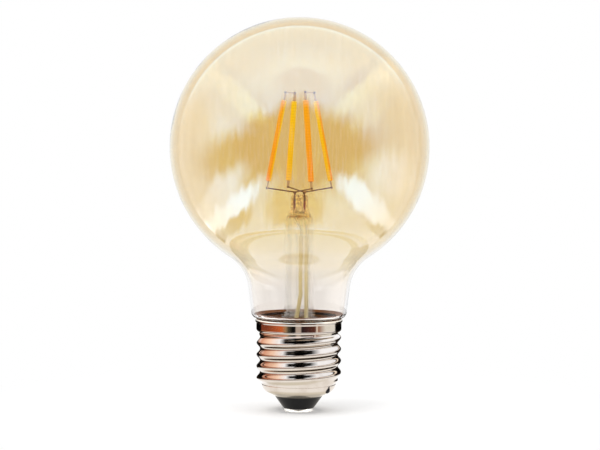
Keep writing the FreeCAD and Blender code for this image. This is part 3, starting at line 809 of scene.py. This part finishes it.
def add_piece(
    name: str, work: bmesh.types.BMesh, material: bpy.types.Material
) -> None:
    """Turns finished mesh work into a piece that rides on the bulb.

    Args:
        name: the piece's name.
        work: its mesh, in metres in the bulb's frame.
        material: that finish.
    """
    mesh = bpy.data.meshes.new(name)
    work.to_mesh(mesh)
    work.free()
    mesh.shade_smooth()
    mesh.materials.append(material)
    piece = bpy.data.objects.new(name, mesh)
    bpy.context.scene.collection.objects.link(piece)
    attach(piece, "root")
    log.info("added %s with %d faces", name, len(mesh.polygons))


def add_nugget(
    work: bmesh.types.BMesh, at: Vector, radii: Vector, chance: random.Random
) -> None:
    """Adds one uneven rounded nugget to mesh work.

    Args:
        work: the mesh to add to.
        at: its centre in metres.
        radii: its three half sizes in metres.
        chance: seeded source of its unevenness.
    """
    turn = Matrix.Rotation(chance.uniform(0, NUGGET_TURN), 4, "Z")
    place = Matrix.Translation(at) @ turn
    ball = bmesh.ops.create_icosphere(work, subdivisions=3, radius=1.0)
    phases = [chance.uniform(0, NUGGET_TURN) for _ in range(3)]
    for vert in ball["verts"]:
        swell = 1 + NUGGET_SWELL * sum(
            math.sin(NUGGET_LOBES * axis + phase) for axis, phase in zip(vert.co, phases)
        ) / len(phases)
        vert.co = place @ Vector(c * r * swell for c, r in zip(vert.co, radii))


@dataclass
class Envelope:
    """The blown globe and the glass stem inside it."""

    bubble_count: int = 16
    press_low: float = 61.85
    press_high: float = 66.25
    press_half_width: float = 2.1
    press_half_depth: float = 1.5
    bubble_small: float = 0.12
    bubble_large: float = 0.36
    bubble_shape: tuple[float, float, float] = (0.8, 0.8, 1.5)
    lead_across: float = 1.45
    lead_back: float = -1.2
    lead_clear: float = 0.7

    def build(self, materials: dict[Slot, bpy.types.Material]) -> None:
        """Dresses the glass and adds the bubbles trapped in the press.

        Args:
            materials: the finishes by slot.
        """
        dress(("globe_glass",), materials[Slot.AMBER_GLASS])
        dress(("stem_glass", "exhaust_tube"), materials[Slot.STEM_GLASS])
        for name in ("globe_glass", "stem_glass", "exhaust_tube"):
            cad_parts[name].visible_shadow = False
            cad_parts[name].visible_diffuse = False
        self.add_bubbles(materials[Slot.STEM_GLASS])

    def add_bubbles(self, material: bpy.types.Material) -> None:
        """Adds small drawn-out air bubbles inside the press, clear of the leads.

        Args:
            material: the glass that the bubbles lie in.
        """
        chance = random.Random(7)
        work = bmesh.new()
        made = 0
        while made < self.bubble_count:
            radius = chance.uniform(self.bubble_small, self.bubble_large)
            x = chance.uniform(-self.press_half_width, self.press_half_width)
            y = chance.uniform(-self.press_half_depth, self.press_half_depth)
            z = chance.uniform(self.press_low, self.press_high)
            off = math.hypot(abs(x) - self.lead_across, y - self.lead_back)
            if off < self.lead_clear + radius:
                continue
            radii = Vector(radius * part for part in self.bubble_shape) * MM
            add_nugget(work, Vector((x, y, z)) * MM, radii, chance)
            made += 1
        bmesh.ops.reverse_faces(work, faces=work.faces)
        add_piece("press_bubbles", work, material)


@dataclass
class FilamentCage:
    """Four coated strips with their tabs, links and cross wires."""

    foot_radius: float = 10.2
    top_radius: float = 5.2
    foot_height: float = 71.15
    length: float = 25.2
    turn: float = 20.0
    lower_weld: float = 2.1
    upper_weld: float = 2.6
    nugget: float = 0.42
    nugget_spread: float = 0.15
    nugget_flat: float = 0.8

    def tab_point(self, quarter: int, along: float) -> Vector:
        """Gives a point on a strip's line, along from its foot.

        Args:
            quarter: quarter turns from the first strip.
            along: distance from the strip's foot in millimetres.

        Returns:
            The point in metres.
        """
        lean = math.asin((self.foot_radius - self.top_radius) / self.length)
        radius = self.foot_radius - along * math.sin(lean)
        angle = math.radians(self.turn + 90 * quarter)
        height = self.foot_height + along * math.cos(lean)
        return Vector((radius * math.cos(angle), radius * math.sin(angle), height)) * MM

    def build(self, materials: dict[Slot, bpy.types.Material]) -> None:
        """Dresses the cage and adds the weld nuggets at its joints.

        Args:
            materials: the finishes by slot.
        """
        places = ("right", "rear", "left", "front")
        dress(tuple(f"filament_{p}" for p in places), materials[Slot.FILAMENT])
        tabs = tuple(f"{end}_tab_{p}" for p in places for end in ("upper", "lower"))
        dress(tabs, materials[Slot.TAB])
        dress(("top_link_left", "top_link_front"), materials[Slot.TAB])
        dress(("cross_wire_left", "cross_wire_right"), materials[Slot.WIRE])
        chance = random.Random(11)
        work = bmesh.new()
        for quarter in range(4):
            for along in (-self.lower_weld, self.length + self.upper_weld):
                spread = chance.uniform(1 - self.nugget_spread, 1 + self.nugget_spread)
                size = self.nugget * spread
                radii = Vector((size, size, size * self.nugget_flat)) * MM
                add_nugget(work, self.tab_point(quarter, along), radii, chance)
        add_piece("tab_welds", work, materials[Slot.WIRE])


@dataclass
class Leads:
    """The lead wires through the press and the sleeved runs down to the board."""

    weld_radius: float = 0.5
    weld_shape: tuple[float, float, float] = (1.0, 1.0, 0.75)

    def build(self, materials: dict[Slot, bpy.types.Material]) -> None:
        """Dresses the leads and adds the weld on top of each one.

        Args:
            materials: the finishes by slot.
        """
        chance = random.Random(5)
        work = bmesh.new()
        for side in ("left", "right"):
            dress((f"inner_lead_{side}",), materials[Slot.WIRE])
            dress((f"seal_wire_{side}",), materials[Slot.SEAL_WIRE])
            dress((f"outer_lead_{side}",), materials[Slot.TINNED_WIRE])
            dress((f"lead_sleeve_{side}",), materials[Slot.SLEEVE])
            low, high = (Vector(corner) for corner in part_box(f"inner_lead_{side}"))
            top = Vector(((low.x + high.x) / 2, (low.y + high.y) / 2, high.z))
            radii = Vector(self.weld_shape) * self.weld_radius * MM
            add_nugget(work, top, radii, chance)
        add_piece("lead_welds", work, materials[Slot.WIRE])


@dataclass
class ScrewCap:
    """The rolled shell, its insulator, contact and cement."""

    skirt_radius: float = 11.65
    foot_height: float = 28.85
    foot_wall: float = 0.8
    corner_across: float = 12.96
    corner_radius: float = 1.8
    corner_start: float = -90.0
    corner_sweep: float = 65.0
    # Thickness and corner steps of the brown sheet of painted shade on the glass foot
    shade_sheet_depth: float = 0.06
    shade_sheet_steps: int = 8
    ring_steps: int = 96
    clearance: float = 0.03
    stake_turn: float = -36.0
    stake_across: float = 10.75
    stake_height: float = 7.35
    # Size of the black spot of painted shade at the stake
    stake_shade_radii: tuple[float, float, float] = (0.95, 0.95, 1.1)

    def build(self, materials: dict[Slot, bpy.types.Material]) -> None:
        """Dresses the cap's pieces, and adds a brown sheet of painted shade on the glass foot
        and a black spot of painted shade at the stake.

        Args:
            materials: the finishes by slot.
        """
        dress(("cap_shell",), materials[Slot.NICKEL_PLATE])
        dress(("cap_insulator",), materials[Slot.INSULATOR])
        dress(("centre_contact",), materials[Slot.CONTACT])
        dress(("cap_cement",), materials[Slot.CEMENT])
        self.add_foot_shade_sheet(materials[Slot.CEMENT])
        self.add_stake_shade(materials[Slot.INSULATOR])

    def foot_line(self, above: float) -> list[tuple[float, float]]:
        """Gives the line of the glass foot's inner face, from the skirt to the corner.

        Args:
            above: distance of the line from the glass in millimetres.

        Returns:
            Radius and height of each point in millimetres.
        """
        bend = self.corner_radius - self.foot_wall - above
        middle = self.foot_height + self.corner_radius
        turns = [
            math.radians(self.corner_start + self.corner_sweep * step / self.shade_sheet_steps)
            for step in range(self.shade_sheet_steps + 1)
        ]
        start = (self.skirt_radius + above, middle - bend)
        return [start] + [
            (self.corner_across + bend * math.cos(turn), middle + bend * math.sin(turn))
            for turn in turns
        ]

    def add_foot_shade_sheet(self, material: bpy.types.Material) -> None:
        """Adds a thin brown sheet on the glass foot's inner face, in the cement's colour:
        painted shade for the dark inside of the cap seen through the glass.

        Args:
            material: the cement.
        """
        far = self.foot_line(self.clearance + self.shade_sheet_depth)
        outline = self.foot_line(self.clearance) + far[::-1]
        work = bmesh.new()
        rings = []
        for step in range(self.ring_steps):
            turn = Matrix.Rotation(2 * math.pi * step / self.ring_steps, 3, "Z")
            rings.append([
                work.verts.new(turn @ Vector((across, 0, up)) * MM) for across, up in outline
            ])
        for ring, after in zip(rings, rings[1:] + rings[:1]):
            for spot in range(len(outline)):
                other = (spot + 1) % len(outline)
                work.faces.new((ring[spot], ring[other], after[other], after[spot]))
        bmesh.ops.recalc_face_normals(work, faces=work.faces)
        add_piece("foot_shade_sheet", work, material)

    def add_stake_shade(self, material: bpy.types.Material) -> None:
        """Adds a black spot of painted shade where the neutral wire is staked into the dome,
        for the dark of the staked slot.

        Args:
            material: the insulator's black, which the spot shares.
        """
        work = bmesh.new()
        turn = Matrix.Rotation(math.radians(self.stake_turn), 3, "Z")
        at = turn @ Vector((self.stake_across, 0, self.stake_height)) * MM
        add_nugget(work, at, Vector(self.stake_shade_radii) * MM, random.Random(3))
        add_piece("stake_shade", work, material)


@dataclass
class Driver:
    """The round board in the cap, with its parts and supply wires."""

    joint_radius: float = 0.7
    joint_shape: tuple[float, float, float] = (1.0, 1.0, 0.6)

    def build(self, materials: dict[Slot, bpy.types.Material]) -> None:
        """Dresses the board's parts and adds the solder round the live wire.

        Args:
            materials: the finishes by slot.
        """
        dress(("driver_board",), materials[Slot.BOARD])
        dress(("smoothing_capacitor",), materials[Slot.CAPACITOR])
        dress(("fusible_resistor",), materials[Slot.RESISTOR])
        dress(("bridge_rectifier", "driver_chip"), materials[Slot.CHIP_PLASTIC])
        dress(("chip_resistors",), materials[Slot.CHIP_CERAMIC])
        dress(("live_wire", "neutral_wire"), materials[Slot.TINNED_WIRE])
        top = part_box("driver_board")[1][2]
        chance = random.Random(3)
        work = bmesh.new()
        low, high = (Vector(corner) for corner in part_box("live_wire"))
        radii = Vector(self.joint_shape) * self.joint_radius * MM
        at = Vector(((low.x + high.x) / 2, (low.y + high.y) / 2, top))
        add_nugget(work, at, radii, chance)
        add_piece("board_solder", work, materials[Slot.TINNED_WIRE])


@dataclass(frozen=True)
class Patch:
    """A lit or dark part of the room, placed where a mirror ball shows it.

    The ball is seen from the camera, and its radius is 1.
    """

    across: float
    up: float
    half_width: float
    half_height: float
    colour: str
    level: float = 1.0
    turn: float = 0.0
    soft: float = 0.15

    def paint(
        self, tree: bpy.types.NodeTree, ball: bpy.types.NodeSocket, under: Any
    ) -> bpy.types.NodeSocket:
        """Paints the patch over what is there.

        Args:
            tree: the world's node tree.
            ball: place on the mirror ball.
            under: colour under the patch, as a socket or a plain colour.

        Returns:
            The colour with the patch on it.
        """
        moved = add_node(
            tree,
            "ShaderNodeVectorMath",
            {0: ball, 1: (self.across, 0.0, self.up)},
            operation="SUBTRACT",
        )
        turned = add_node(
            tree,
            "ShaderNodeVectorRotate",
            {"Vector": moved.outputs[0], "Angle": math.radians(self.turn)},
            rotation_type="Y_AXIS",
        )
        scaled = add_node(
            tree,
            "ShaderNodeVectorMath",
            {0: turned.outputs[0], 1: (1 / self.half_width, 0.0, 1 / self.half_height)},
            operation="MULTIPLY",
        )
        off = add_node(
            tree, "ShaderNodeVectorMath", {0: scaled.outputs[0]}, operation="LENGTH"
        )
        share = add_node(
            tree,
            "ShaderNodeMapRange",
            {
                "Value": off.outputs["Value"],
                "From Min": 1 + self.soft,
                "From Max": 1 - self.soft,
            },
            interpolation_type="SMOOTHSTEP",
        )
        colour = tuple(c * self.level for c in linear(self.colour)[:3]) + (1.0,)
        mixed = add_node(
            tree,
            "ShaderNodeMix",
            {"Factor": share.outputs["Result"], 6: under, 7: colour},
            data_type="RGBA",
        )
        return mixed.outputs[2]


# Room that the glass mirrors: bright above, dark behind the camera, a low window each side
ROOM_LEVEL = 2.0
ROOM = (
    Patch(-0.1, 0.75, 1.2, 0.75, "D4F0FF", 3.8, soft=0.3),
    Patch(0.0, 0.53, 0.46, 0.16, "F0E8E4", 4.3, soft=0.7),
    Patch(-0.47, 0.31, 0.24, 0.15, "E0F0FF", 2.8, soft=0.6),
    Patch(0.52, 0.33, 0.26, 0.16, "E0F0FF", 2.5, soft=0.6),
    Patch(0.80, 0.05, 0.22, 0.42, "FFFFFF", 1.7, soft=0.5),
    Patch(-0.80, 0.05, 0.14, 0.34, "FFFFFF", 2.2, soft=0.5),
    Patch(-0.36, -0.07, 0.38, 0.21, "484444", 1.0, turn=8.0, soft=0.4),
    Patch(-0.23, 0.15, 0.17, 0.10, "484444", 1.0, turn=-20.0, soft=0.5),
    Patch(0.18, -0.03, 0.38, 0.29, "484444", 1.0, soft=0.35),
    Patch(-0.02, 0.16, 0.20, 0.22, "484444", 1.0, soft=0.3),
    Patch(-0.03, -0.44, 0.21, 0.22, "6E6A66", 1.0, soft=0.35),
    Patch(0.68, -0.20, 0.15, 0.17, "FFFFFF", 3.4, soft=0.6),
    Patch(0.0, -0.70, 0.50, 0.09, "FFFFFF", 2.8, soft=0.6),
    Patch(-0.60, -0.36, 0.26, 0.09, "FFFFFF", 3.6, turn=50.0, soft=0.5),
    Patch(-0.52, -0.46, 0.27, 0.07, "FFFFFF", 5.6, turn=40.0, soft=0.4),
    Patch(0.49, -0.39, 0.26, 0.085, "FFFFFF", 5.2, turn=-42.0, soft=0.4),
    Patch(-0.50, -0.595, 0.19, 0.055, "3A3028", 1.0, turn=45.0, soft=0.4),
    Patch(0.60, -0.62, 0.10, 0.04, "8A8078", 1.0, turn=-38.0, soft=0.4),
)

# Edge of the backdrop behind the bulb: place on the mirror ball, colour, level and share
BACKDROP_EDGE = (
    (0.0, "FFFFFF", 1.2, 0.0), (0.6, "FFFFFF", 1.2, 0.0), (0.88, "FFFFFF", 1.1, 0.65),
    (0.9, "FFFFFF", 1.1, 0.65), (0.912, "6A5A48", 1.0, 0.4), (0.918, "6A5A48", 1.0, 0.4),
    (0.928, "EEF0F4", 1.25, 1.0), (1.0, "ECEEF0", 1.12, 1.0),
)

# Card round the collar: angle from the camera in degrees, and colour
COLLAR_CARD = (
    (-180, "E8E4DC"), (-153, "E8E4DC"), (-149, "050505"), (-107, "050505"),
    (-104, "8A4630"), (-80, "94482C"), (-40, "E07038"), (-30, "B89470"),
    (-24, "5A5446"), (-15, "100E0E"), (-8, "100E0E"), (-6.5, "CABCB6"),
    (4, "CABCB6"), (6, "2A2026"), (38, "6A3E34"), (41, "FFF0E8"),
    (43, "FFF0E8"), (45, "A06A50"), (65, "FFFFFF"), (97, "FFFFFF"),
    (100, "050505"), (149, "050505"), (153, "E8E4DC"), (180, "E8E4DC"),
)

# Card round the thread, lower down
THREAD_CARD = (
    (-180, "E8E4DC"), (-153, "E8E4DC"), (-149, "050505"), (-112, "050505"),
    (-104, "A06850"), (-80, "E8B49C"), (-50, "F4ECF0"), (-20, "F0ECF4"),
    (40, "F0ECF4"), (97, "F4F4FF"), (104, "050505"), (149, "050505"),
    (153, "E8E4DC"), (180, "E8E4DC"),
)

# Outer part of the card over the thread, seen from below
UPPER_CARD = (
    (-180, "F4ECE6"), (-100, "C07858"), (-60, "E8A080"), (-26, "F0B898"), (-18, "D8D0CC"),
    (14, "E8E0DC"), (24, "F0D8C8"), (180, "F4ECE6"),
)

# Inner part of that card, close to the collar: dark towards the camera
INNER_CARD = (
    (-180, "EAF0FF"), (-100, "D09880"), (-66, "F0D0C0"), (-38, "EAF0FF"), (-27, "030303"),
    (26, "030303"), (47, "EAF0FF"), (180, "EAF0FF"),
)

# Between the two, where the dark part narrows
LENS_CARD = (
    (-180, "EAF0FF"), (-100, "D09880"), (-60, "F4D8C8"), (-34, "EAF0FF"), (-16, "EAF0FF"),
    (-8, "030303"), (9, "030303"), (21, "EAF0FF"), (180, "EAF0FF"),
)

# Plain bands: the dark line on the wall and over the thread, and the pale floor
LINE_CARD = ((-180, "30261F"), (180, "30261F"))
LOWER_CARD = ((-180, "E8E8EC"), (180, "E8E8EC"))
SHADE_CARD = ((-180, "E0DCD4"), (180, "E0DCD4"))


@dataclass(frozen=True)
class CardBand:
    """A painted band of the cards round the cap.

    It starts at a distance along the cards in millimetres, which is the height on their
    wall, less than 1 on the floor and more than 26.8 on the part over the thread.
    """

    stops: tuple[tuple[float, str], ...]
    start: float
    soft: float
    level: float


# Paint of the cards from the middle of the floor, up the wall and in over the thread
CARD_MIDDLE = "D0CCC4"
CARD_BANDS = (
    CardBand(SHADE_CARD, -30.0, 1.0, 1.2),
    CardBand(LOWER_CARD, -25.0, 2.0, 1.45),
    CardBand(THREAD_CARD, 3.0, 1.0, 1.4),
    CardBand(LINE_CARD, 5.2, 1.0, 1.0),
    CardBand(THREAD_CARD, 15.0, 1.0, 1.4),
    CardBand(COLLAR_CARD, 20.5, 0.6, 1.0),
    CardBand(UPPER_CARD, 26.8, 0.2, 1.3),
    CardBand(LINE_CARD, 34.8, 1.0, 1.0),
    CardBand(LENS_CARD, 38.8, 1.0, 1.5),
    CardBand(INNER_CARD, 46.8, 3.0, 1.6),
)

# Lamps: name, place and side in millimetres, and power in watts
LAMPS = (
    ("key_lamp", (-450, -350, 600), 500, 1.6),
    ("fill_lamp", (500, -250, 350), 500, 0.6),
)


@dataclass
class Studio:
    """The camera, floor, lamps and surroundings."""

    distance: float = 542.0
    eye_height: float = 82.85
    eye_across: float = 0.2
    lens: float = 105.4
    sensor: float = 36.0
    near: float = 10.0
    pitch: float = 2.67
    roll: float = 0.25
    aim_height: float = 60.0
    bounces: int = 32
    mirror_bounces: int = 12
    floor_half: float = 3000.0
    shadow_core: float = 110.0 / 3
    shadow_reach: float = 110.0
    streak_scale: tuple[float, float, float] = (22.0, 1.0, 3.5)
    streak_sway: tuple[float, float, float] = (0.1, 0.0, 0.18)
    pleat_scale: tuple[float, float, float] = (75.0, 1.0, 5.0)
    pleat_range: tuple[float, float] = (0.48, 0.75)
    pleat_level: float = 0.55
    card_radius: float = 40.0
    card_foot: float = 1.0
    card_top: float = 26.8
    card_mouth: float = 13.4
    card_hole: float = 4.0
    card_steps: int = 128

    def build(self) -> None:
        """Builds the studio round the bulb."""
        self.add_camera()
        self.add_floor()
        self.add_cap_cards()
        for name, at, width, watts in LAMPS:
            self.add_lamp(name, Vector(at), width, watts)
        self.add_world()
        bpy.context.scene.view_settings.view_transform = "Standard"
        cycles = bpy.context.scene.cycles
        cycles.max_bounces = self.bounces
        cycles.transmission_bounces = self.bounces
        cycles.glossy_bounces = self.mirror_bounces

    def add_camera(self) -> None:
        """Adds the camera at the photograph's place."""
        data = bpy.data.cameras.new("photo_camera")
        data.sensor_width = self.sensor
        data.lens = self.lens
        data.clip_start = self.near * MM
        camera = bpy.data.objects.new("photo_camera", data)
        bpy.context.scene.collection.objects.link(camera)
        eye = Vector((self.eye_across, -self.distance, self.eye_height)) * MM
        tilt = Matrix.Rotation(math.radians(90 - self.pitch), 4, "X")
        lean = Matrix.Rotation(math.radians(self.roll), 4, "Z")
        camera.matrix_world = Matrix.Translation(eye) @ tilt @ lean
        bpy.context.scene.camera = camera

    def add_floor(self) -> None:
        """Adds a plain white floor that keeps the bulb's shadow."""
        mesh = bpy.data.meshes.new("floor")
        half = self.floor_half * MM
        corners = [(-half, -half, 0), (half, -half, 0), (half, half, 0), (-half, half, 0)]
        mesh.from_pydata(corners, [], [(0, 1, 2, 3)])
        material = bpy.data.materials.new("white paper")
        material.use_nodes = True
        shader = material.node_tree.nodes["Principled BSDF"]
        shader.inputs["Base Color"].default_value = linear("FAFAFA")
        shader.inputs["Roughness"].default_value = 1.0
        shader.inputs["Specular IOR Level"].default_value = 0.0
        tree = material.node_tree
        place = add_node(tree, "ShaderNodeTexCoord").outputs["Object"]
        away = add_node(tree, "ShaderNodeVectorMath", {0: place}, operation="LENGTH")
        share = add_node(
            tree,
            "ShaderNodeMapRange",
            {
                "Value": away.outputs["Value"],
                "From Min": self.shadow_core * MM,
                "From Max": self.shadow_reach * MM,
            },
            interpolation_type="SMOOTHSTEP",
        )
        glow = add_node(tree, "ShaderNodeEmission", {"Color": linear("FFFFFF")})
        mixed = add_node(
            tree,
            "ShaderNodeMixShader",
            {0: share.outputs["Result"], 1: shader.outputs[0], 2: glow.outputs[0]},
        )
        tree.links.new(mixed.outputs[0], tree.nodes["Material Output"].inputs["Surface"])
        mesh.materials.append(material)
        floor = bpy.data.objects.new("floor", mesh)
        bpy.context.scene.collection.objects.link(floor)
        floor.visible_glossy = False
        floor.visible_transmission = False

    def add_lamp(self, name: str, at: Vector, width: float, watts: float) -> None:
        """Adds a square soft lamp aimed at the bulb.

        Args:
            name: the lamp's name.
            at: its place in millimetres.
            width: its side in millimetres.
            watts: its power.
        """
        data = bpy.data.lights.new(name, "AREA")
        data.size = width * MM
        data.energy = watts
        lamp = bpy.data.objects.new(name, data)
        bpy.context.scene.collection.objects.link(lamp)
        lamp.location = at * MM
        aim = Vector((0.0, 0.0, self.aim_height)) - at
        lamp.rotation_euler = aim.to_track_quat("-Z", "Y").to_euler()
        lamp.visible_camera = False
        lamp.visible_glossy = False
        lamp.visible_transmission = False

    def add_cap_cards(self) -> None:
        """Adds a low box of cards round the cap, seen in its mirror images alone."""
        work = bmesh.new()
        corners = (
            (self.card_hole, self.card_foot),
            (self.card_radius, self.card_foot),
            (self.card_radius, self.card_top),
            (self.card_mouth, self.card_top),
        )
        rise = work.verts.layers.float.new("rise")
        climb = self.card_foot - (self.card_radius - self.card_hole)
        rings: list[list[bmesh.types.BMVert]] = []
        before = corners[0]
        for radius, height in corners:
            climb += math.dist(before, (radius, height))
            before = (radius, height)
            ring = []
            for step in range(self.card_steps):
                angle = 2 * math.pi * step / self.card_steps
                spot = Vector((radius * math.cos(angle), radius * math.sin(angle), height))
                vert = work.verts.new(spot * MM)
                vert[rise] = climb
                ring.append(vert)
            rings.append(ring)
        for low, high in zip(rings, rings[1:]):
            for step in range(self.card_steps):
                after = (step + 1) % self.card_steps
                work.faces.new((low[step], high[step], high[after], low[after]))
        mesh = bpy.data.meshes.new("cap_cards")
        work.to_mesh(mesh)
        work.free()
        mesh.materials.append(self.card_paint())
        cards = bpy.data.objects.new("cap_cards", mesh)
        bpy.context.scene.collection.objects.link(cards)
        cards.visible_camera = False
        cards.visible_diffuse = False
        cards.visible_transmission = False
        cards.visible_shadow = False

    def card_paint(self) -> bpy.types.Material:
        """Makes the cards' paint, which shines into the box and is clear from outside.

        Returns:
            The material.
        """
        material = bpy.data.materials.new("painted card")
        material.use_nodes = True
        tree = material.node_tree
        tree.nodes.clear()
        place = add_node(tree, "ShaderNodeTexCoord").outputs["Object"]
        split = add_node(tree, "ShaderNodeSeparateXYZ", {0: place})
        ahead = add_node(
            tree, "ShaderNodeMath", {0: split.outputs["Y"], 1: -1.0}, operation="MULTIPLY"
        )
        angle = add_node(
            tree,
            "ShaderNodeMath",
            {0: split.outputs["X"], 1: ahead.outputs[0]},
            operation="ARCTAN2",
        )
        turn = add_node(
            tree,
            "ShaderNodeMapRange",
            {"Value": angle.outputs[0], "From Min": -math.pi, "From Max": math.pi},
        )
        climb = add_node(
            tree, "ShaderNodeAttribute", attribute_name="rise"
        ).outputs["Fac"]
        seen: Any = linear(CARD_MIDDLE)
        for band in CARD_BANDS:
            ramp = add_node(tree, "ShaderNodeValToRGB", {0: turn.outputs["Result"]})
            set_stops(
                ramp.color_ramp,
                [
                    (0.5 + degrees / 360, tuple(band.level * part for part in linear(code)))
                    for degrees, code in band.stops
                ],
            )
            share = add_node(
                tree,
                "ShaderNodeMapRange",
                {
                    "Value": climb,
                    "From Min": band.start - band.soft,
                    "From Max": band.start + band.soft,
                },
            )
            seen = add_node(
                tree,
                "ShaderNodeMix",
                {"Factor": share.outputs["Result"], 6: seen, 7: ramp.outputs["Color"]},
                data_type="RGBA",
            ).outputs[2]
        light = add_node(tree, "ShaderNodeEmission", {"Color": seen})
        clear = add_node(tree, "ShaderNodeBsdfTransparent")
        outside = add_node(tree, "ShaderNodeNewGeometry").outputs["Backfacing"]
        either = add_node(
            tree, "ShaderNodeMixShader", {0: outside, 1: light.outputs[0], 2: clear.outputs[0]}
        )
        add_node(tree, "ShaderNodeOutputMaterial", {"Surface": either.outputs[0]})
        return material

    def add_world(self) -> None:
        """Adds a white world whose mirror images show the painted room."""
        world = bpy.data.worlds.new("studio")
        bpy.context.scene.world = world
        world.use_nodes = True
        world.cycles.sampling_method = "NONE"
        tree = world.node_tree
        tree.nodes.clear()
        ray = add_node(tree, "ShaderNodeTexCoord").outputs["Generated"]
        half = add_node(
            tree, "ShaderNodeVectorMath", {0: ray, 1: (0.0, -1.0, 0.0)}, operation="ADD"
        )
        ball = add_node(
            tree, "ShaderNodeVectorMath", {0: half.outputs[0]}, operation="NORMALIZE"
        )
        streaks = add_node(
            tree,
            "ShaderNodeVectorMath",
            {0: ball.outputs[0], 1: self.streak_scale},
            operation="MULTIPLY",
        )
        wobble = add_node(
            tree,
            "ShaderNodeTexNoise",
            {"Vector": streaks.outputs[0], "Scale": 1.0, "Detail": 3.0},
        )
        sway = add_node(
            tree,
            "ShaderNodeVectorMath",
            {0: wobble.outputs["Color"], 1: (0.5, 0.5, 0.5)},
            operation="SUBTRACT",
        )
        bent = add_node(
            tree,
            "ShaderNodeVectorMath",
            {0: sway.outputs[0], 1: self.streak_sway, 2: ball.outputs[0]},
            operation="MULTIPLY_ADD",
        ).outputs[0]
        room: Any = (ROOM_LEVEL, ROOM_LEVEL, ROOM_LEVEL, 1.0)
        for patch in ROOM:
            room = patch.paint(tree, bent, room)
        pleats = add_node(
            tree,
            "ShaderNodeVectorMath",
            {0: ball.outputs[0], 1: self.pleat_scale},
            operation="MULTIPLY",
        )
        shaded_creases = add_node(
            tree,
            "ShaderNodeTexNoise",
            {"Vector": pleats.outputs[0], "Scale": 1.0, "Detail": 2.0},
        )
        lit = add_node(
            tree,
            "ShaderNodeMapRange",
            {
                "Value": shaded_creases.outputs["Fac"],
                "From Min": self.pleat_range[0],
                "From Max": self.pleat_range[1],
                "To Max": self.pleat_level,
            },
        )
        room = add_node(
            tree,
            "ShaderNodeVectorMath",
            {0: room, 1: lit.outputs["Result"]},
            operation="ADD",
        ).outputs[0]
        flat = add_node(
            tree,
            "ShaderNodeVectorMath",
            {0: ball.outputs[0], 1: (1.0, 0.0, 1.0)},
            operation="MULTIPLY",
        )
        out = add_node(
            tree, "ShaderNodeVectorMath", {0: flat.outputs[0]}, operation="LENGTH"
        )
        edge = add_node(tree, "ShaderNodeValToRGB", {0: out.outputs["Value"]})
        set_stops(
            edge.color_ramp,
            [
                (place, (*(level * part for part in linear(code)[:3]), share))
                for place, code, level, share in BACKDROP_EDGE
            ],
        )
        framed = add_node(
            tree,
            "ShaderNodeMix",
            {"Factor": edge.outputs["Alpha"], 6: room, 7: edge.outputs["Color"]},
            data_type="RGBA",
        )
        path = add_node(tree, "ShaderNodeLightPath")
        mirrored = add_node(
            tree,
            "ShaderNodeMath",
            {0: path.outputs["Glossy Depth"], 1: 0.5},
            operation="GREATER_THAN",
        )
        seen = add_node(
            tree,
            "ShaderNodeMix",
            {
                "Factor": mirrored.outputs[0],
                6: (1.0, 1.0, 1.0, 1.0),
                7: framed.outputs[2],
            },
            data_type="RGBA",
        )
        back = add_node(tree, "ShaderNodeBackground", {"Color": seen.outputs[2]})
        add_node(tree, "ShaderNodeOutputWorld", {"Surface": back.outputs[0]})


def main() -> None:
    """Builds every sub-assembly in order, then the studio."""
    logging.basicConfig(level=logging.INFO, format="%(message)s")
    materials = finishes()
    for assembly in (Envelope(), FilamentCage(), Leads(), ScrewCap(), Driver()):
        assembly.build(materials)
    Studio().build()


if __name__ == "__main__":
    main()
